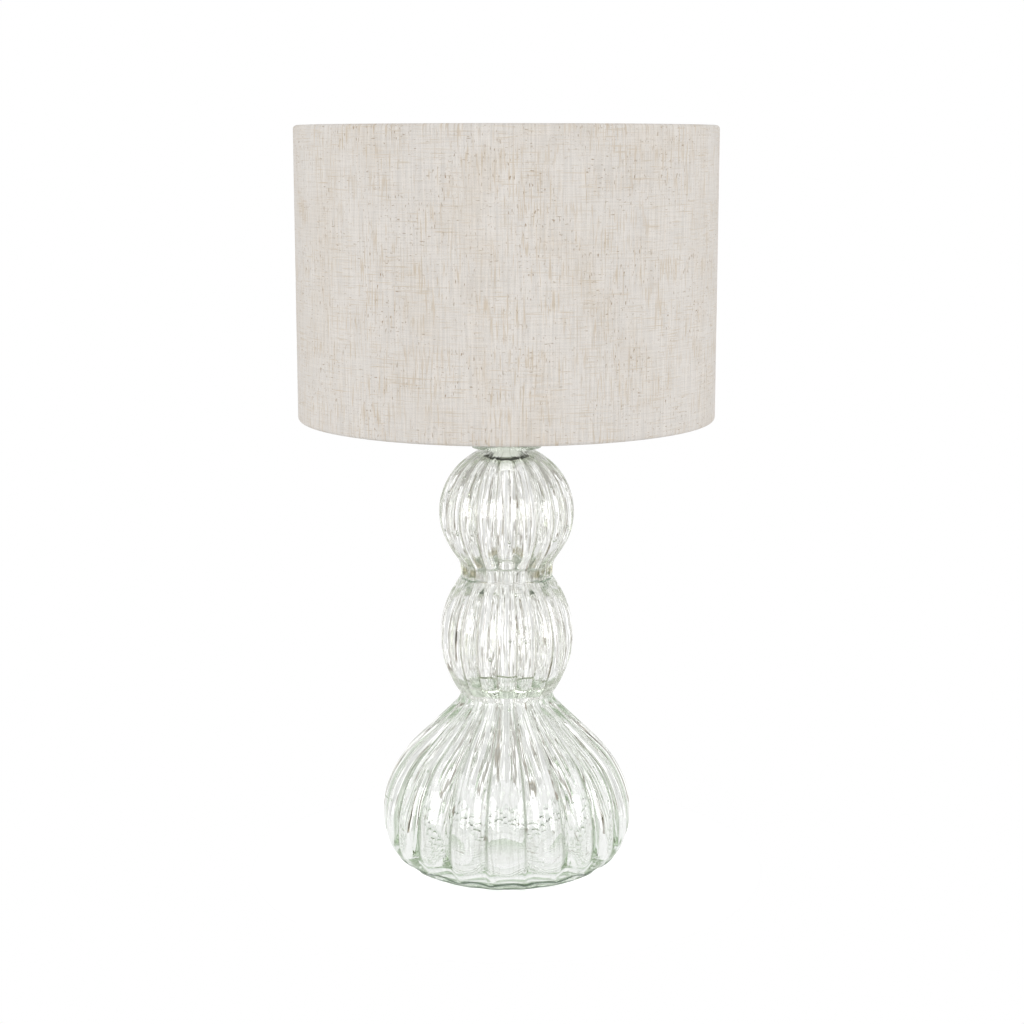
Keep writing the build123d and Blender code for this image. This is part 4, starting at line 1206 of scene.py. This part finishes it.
class LAMP_OT_shade_linen(bpy.types.Operator):
    """Linen drum with its edges rolled round the wires, and its seam at the back"""

    bl_idname = "lamp.shade_linen"
    bl_label = "Linen shade"

    def execute(self, context):
        shade = context.scene.lamp_shade
        linen = linen_material(shade)
        low, high = LINEN_BOX[0][2], LINEN_BOX[1][2]
        radius = LINEN_BOX[1][0]
        outer = shade.wire_radius + shade.hem_clearance + shade.cloth
        circle = radius - outer
        outside, inside = (
            self.face_of_cloth(shade, reach, circle, low + outer, high - outer)
            for reach in (outer, outer - shade.cloth)
        )
        points = outside + inside[::-1] + outside[:1]
        mesh = outline_mesh("linen_drum", points, [0.0] * len(points), [CLOTH_UNEVENNESS] * len(points))
        drum = grown("linen_drum", mesh, once("Turned shell", turned_shell_tree), {
            "Segments": CLOTH_COLUMNS, "Flutes": 0, "Ripple": 0.0005, "Seed": 2.0, "Unwrap Radius": radius,
            "Material": linen,
        })
        dressed(drum, "shade", "linen", "shade_linen")
        seam = self.seam(shade, circle, outer, low + outer, high - outer, radius, linen)
        return {"FINISHED"}

    def seam(self, shade, circle, outer, low_wire, high_wire, radius, linen):
        """Lapped end of the cloth at the back, glued down flat over its beginning."""
        sunk, raised, edge = 0.0004, 0.0005, 0.0005
        half = shade.overlap / 2
        places = [(-half, -sunk), (-half, raised * 0.6), (-half + edge, raised),
                  (half - edge, raised), (half, raised * 0.6), (half, -sunk)]
        # A lean in radians round the wires, and how far up the wall.
        path = [(0.2 * step, 0.0) for step in range(-6, 0)] + [(0.0, share) for share in eased(WALL_ROWS)]
        path += [(0.2 * step, 1.0) for step in range(1, 7)]
        points, faces, cloth = [], [], []
        for lean, share in path:
            height = low_wire + (high_wire - low_wire) * share
            for sideways, lift in places:
                reach = circle + (outer + lift) * cos(lean)
                turn = pi / 2 + sideways / radius
                points.append((reach * cos(turn), reach * sin(turn), height + (outer + lift) * sin(lean)))
                cloth.append((radius * turn + SEAM_SHIFT, height))
        count = len(places)
        for step in range(len(path) - 1):
            for index in range(count):
                one, two = step * count + index, step * count + (index + 1) % count
                faces.append((one, two, two + count, one + count))
        faces += [tuple(range(count))[::-1], tuple(range(len(points) - count, len(points)))]
        mesh = bpy.data.meshes.new("linen_seam")
        mesh.from_pydata(points, [], faces)
        layer = mesh.uv_layers.new(name="unwrapped")
        for loop in mesh.loops:
            layer.data[loop.index].uv = cloth[loop.vertex_index]
        mesh.materials.append(linen)
        turn_outwards(mesh)
        return dressed(set_down("linen_seam", mesh), "shade", "linen")

    def face_of_cloth(self, shade, reach, circle, low_wire, high_wire):
        """One face of the cloth from the roll's end at the bottom to the roll's end at the top."""
        wrap = radians(shade.hem_wrap)
        steps = eased(HEM_ROWS)
        bottom = [(circle + reach * cos(wrap * (1 - share)), low_wire - reach * sin(wrap * (1 - share)))
                  for share in steps]
        wall = [(circle + reach, low_wire + (high_wire - low_wire) * share)
                for share in eased(WALL_ROWS)[1:-1]]
        top = [(circle + reach * cos(wrap * share), high_wire + reach * sin(wrap * share))
               for share in steps]
        return bottom + wall + top


class LAMP_OT_shade_frame(bpy.types.Operator):
    """Finishes of the white backing and the wire frame"""

    bl_idname = "lamp.shade_frame"
    bl_label = "Shade frame"

    def execute(self, context):
        finish("shade_backing", (0.86, 0.85, 0.82), 0.55, "shade_liner", grain=420.0)
        finish("powder_coat", (0.84, 0.84, 0.82), 0.42, "top_ring", "shade_carrier",
               grain=2600.0, bump=0.2)
        return {"FINISHED"}


class LAMP_OT_fittings(bpy.types.Operator):
    """Finishes of the neck fittings and the lampholder, and the lampholder's thread"""

    bl_idname = "lamp.fittings"
    bl_label = "Neck fittings and lampholder"

    def execute(self, context):
        fittings = context.scene.lamp_fittings
        finish("satin_nickel", (0.86, 0.85, 0.82), 0.38, "neck_cap", "cord_entry",
               grain=3200.0, metallic=1.0)
        finish("zinc_plate", (0.58, 0.60, 0.62), 0.36, "holder_nipple", "terminal_screws",
               grain=1800.0, metallic=1.0)
        finish("pale_zinc", (0.90, 0.90, 0.89), 0.5, "plug_washer", "plug_nut", "threaded_tube",
               grain=1800.0, metallic=0.6)
        finish("brass", (0.80, 0.60, 0.28), 0.30, "screw_shell", "centre_contact",
               grain=1800.0, metallic=1.0)
        plastic = finish("white_plastic", (0.84, 0.84, 0.81), 0.34, "lampholder_cap", "lampholder_skirt",
                         "shade_ring", "cord_gland", grain=1500.0)
        finish("steatite", (0.82, 0.80, 0.75), 0.62, "contact_block", grain=2400.0, bump=0.12)
        finish("pale_rubber", (0.84, 0.86, 0.81), 0.45, "neck_plug", grain=1200.0)
        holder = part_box("lampholder_skirt")
        ring_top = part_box("shade_ring")[1][2]
        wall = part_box("contact_block")[1][0] + SKIRT_WALL
        mesh = bpy.data.meshes.new("holder_thread")
        thread = grown("holder_thread", mesh, once("Screw thread", thread_tree), {
            "Radius": wall, "Low": ring_top + THREAD_END, "High": holder[1][2] - THREAD_END,
            "Pitch": fittings.thread_pitch, "Ridge": fittings.thread_height, "Material": plastic,
        })
        dressed(thread, "base", "white_plastic")
        return {"FINISHED"}


class LAMP_OT_bulb(bpy.types.Operator):
    """Finishes of the bulb"""

    bl_idname = "lamp.bulb"
    bl_label = "Bulb"

    def execute(self, context):
        finish("opal_diffuser", (0.90, 0.90, 0.88), 0.22, "bulb_envelope", grain=2000.0, bump=0.02)
        finish("bulb_housing", (0.85, 0.85, 0.84), 0.38, "bulb_housing", grain=1500.0)
        finish("bulb_cap_nickel", (0.60, 0.59, 0.57), 0.25, "bulb_screw_cap", "bulb_eyelet",
               grain=2600.0, metallic=1.0)
        finish("bulb_insulator", (0.02, 0.02, 0.02), 0.25, "bulb_insulator")
        return {"FINISHED"}


PIECES = (
    LAMP_OT_stage, LAMP_OT_glass_globes, LAMP_OT_glass_seeds, LAMP_OT_shade_linen, LAMP_OT_shade_frame,
    LAMP_OT_fittings, LAMP_OT_bulb,
)


class LAMP_PT_parts(bpy.types.Panel):
    """Lists the lamp's pieces and their settings"""

    bl_idname = "LAMP_PT_parts"
    bl_label = "Table lamp"
    bl_space_type = "VIEW_3D"
    bl_region_type = "UI"
    bl_category = "Lamp"

    def draw(self, context):
        for piece in PIECES:
            self.layout.operator(piece.bl_idname)
        for name, kind in SETTINGS.items():
            box = self.layout.box()
            for setting in kind.__annotations__:
                box.prop(getattr(context.scene, name), setting)


def register():
    for kind in (*SETTINGS.values(), *PIECES, LAMP_PT_parts):
        bpy.utils.register_class(kind)
    for name, kind in SETTINGS.items():
        setattr(bpy.types.Scene, name, bpy.props.PointerProperty(type=kind))


def unregister():
    for name in SETTINGS:
        delattr(bpy.types.Scene, name)
    for kind in (LAMP_PT_parts, *reversed(PIECES), *reversed(SETTINGS.values())):
        bpy.utils.unregister_class(kind)


def main():
    register()
    for piece in PIECES:
        group, name = piece.bl_idname.split(".")
        getattr(getattr(bpy.ops, group), name)()


if __name__ == "__main__":
    main()
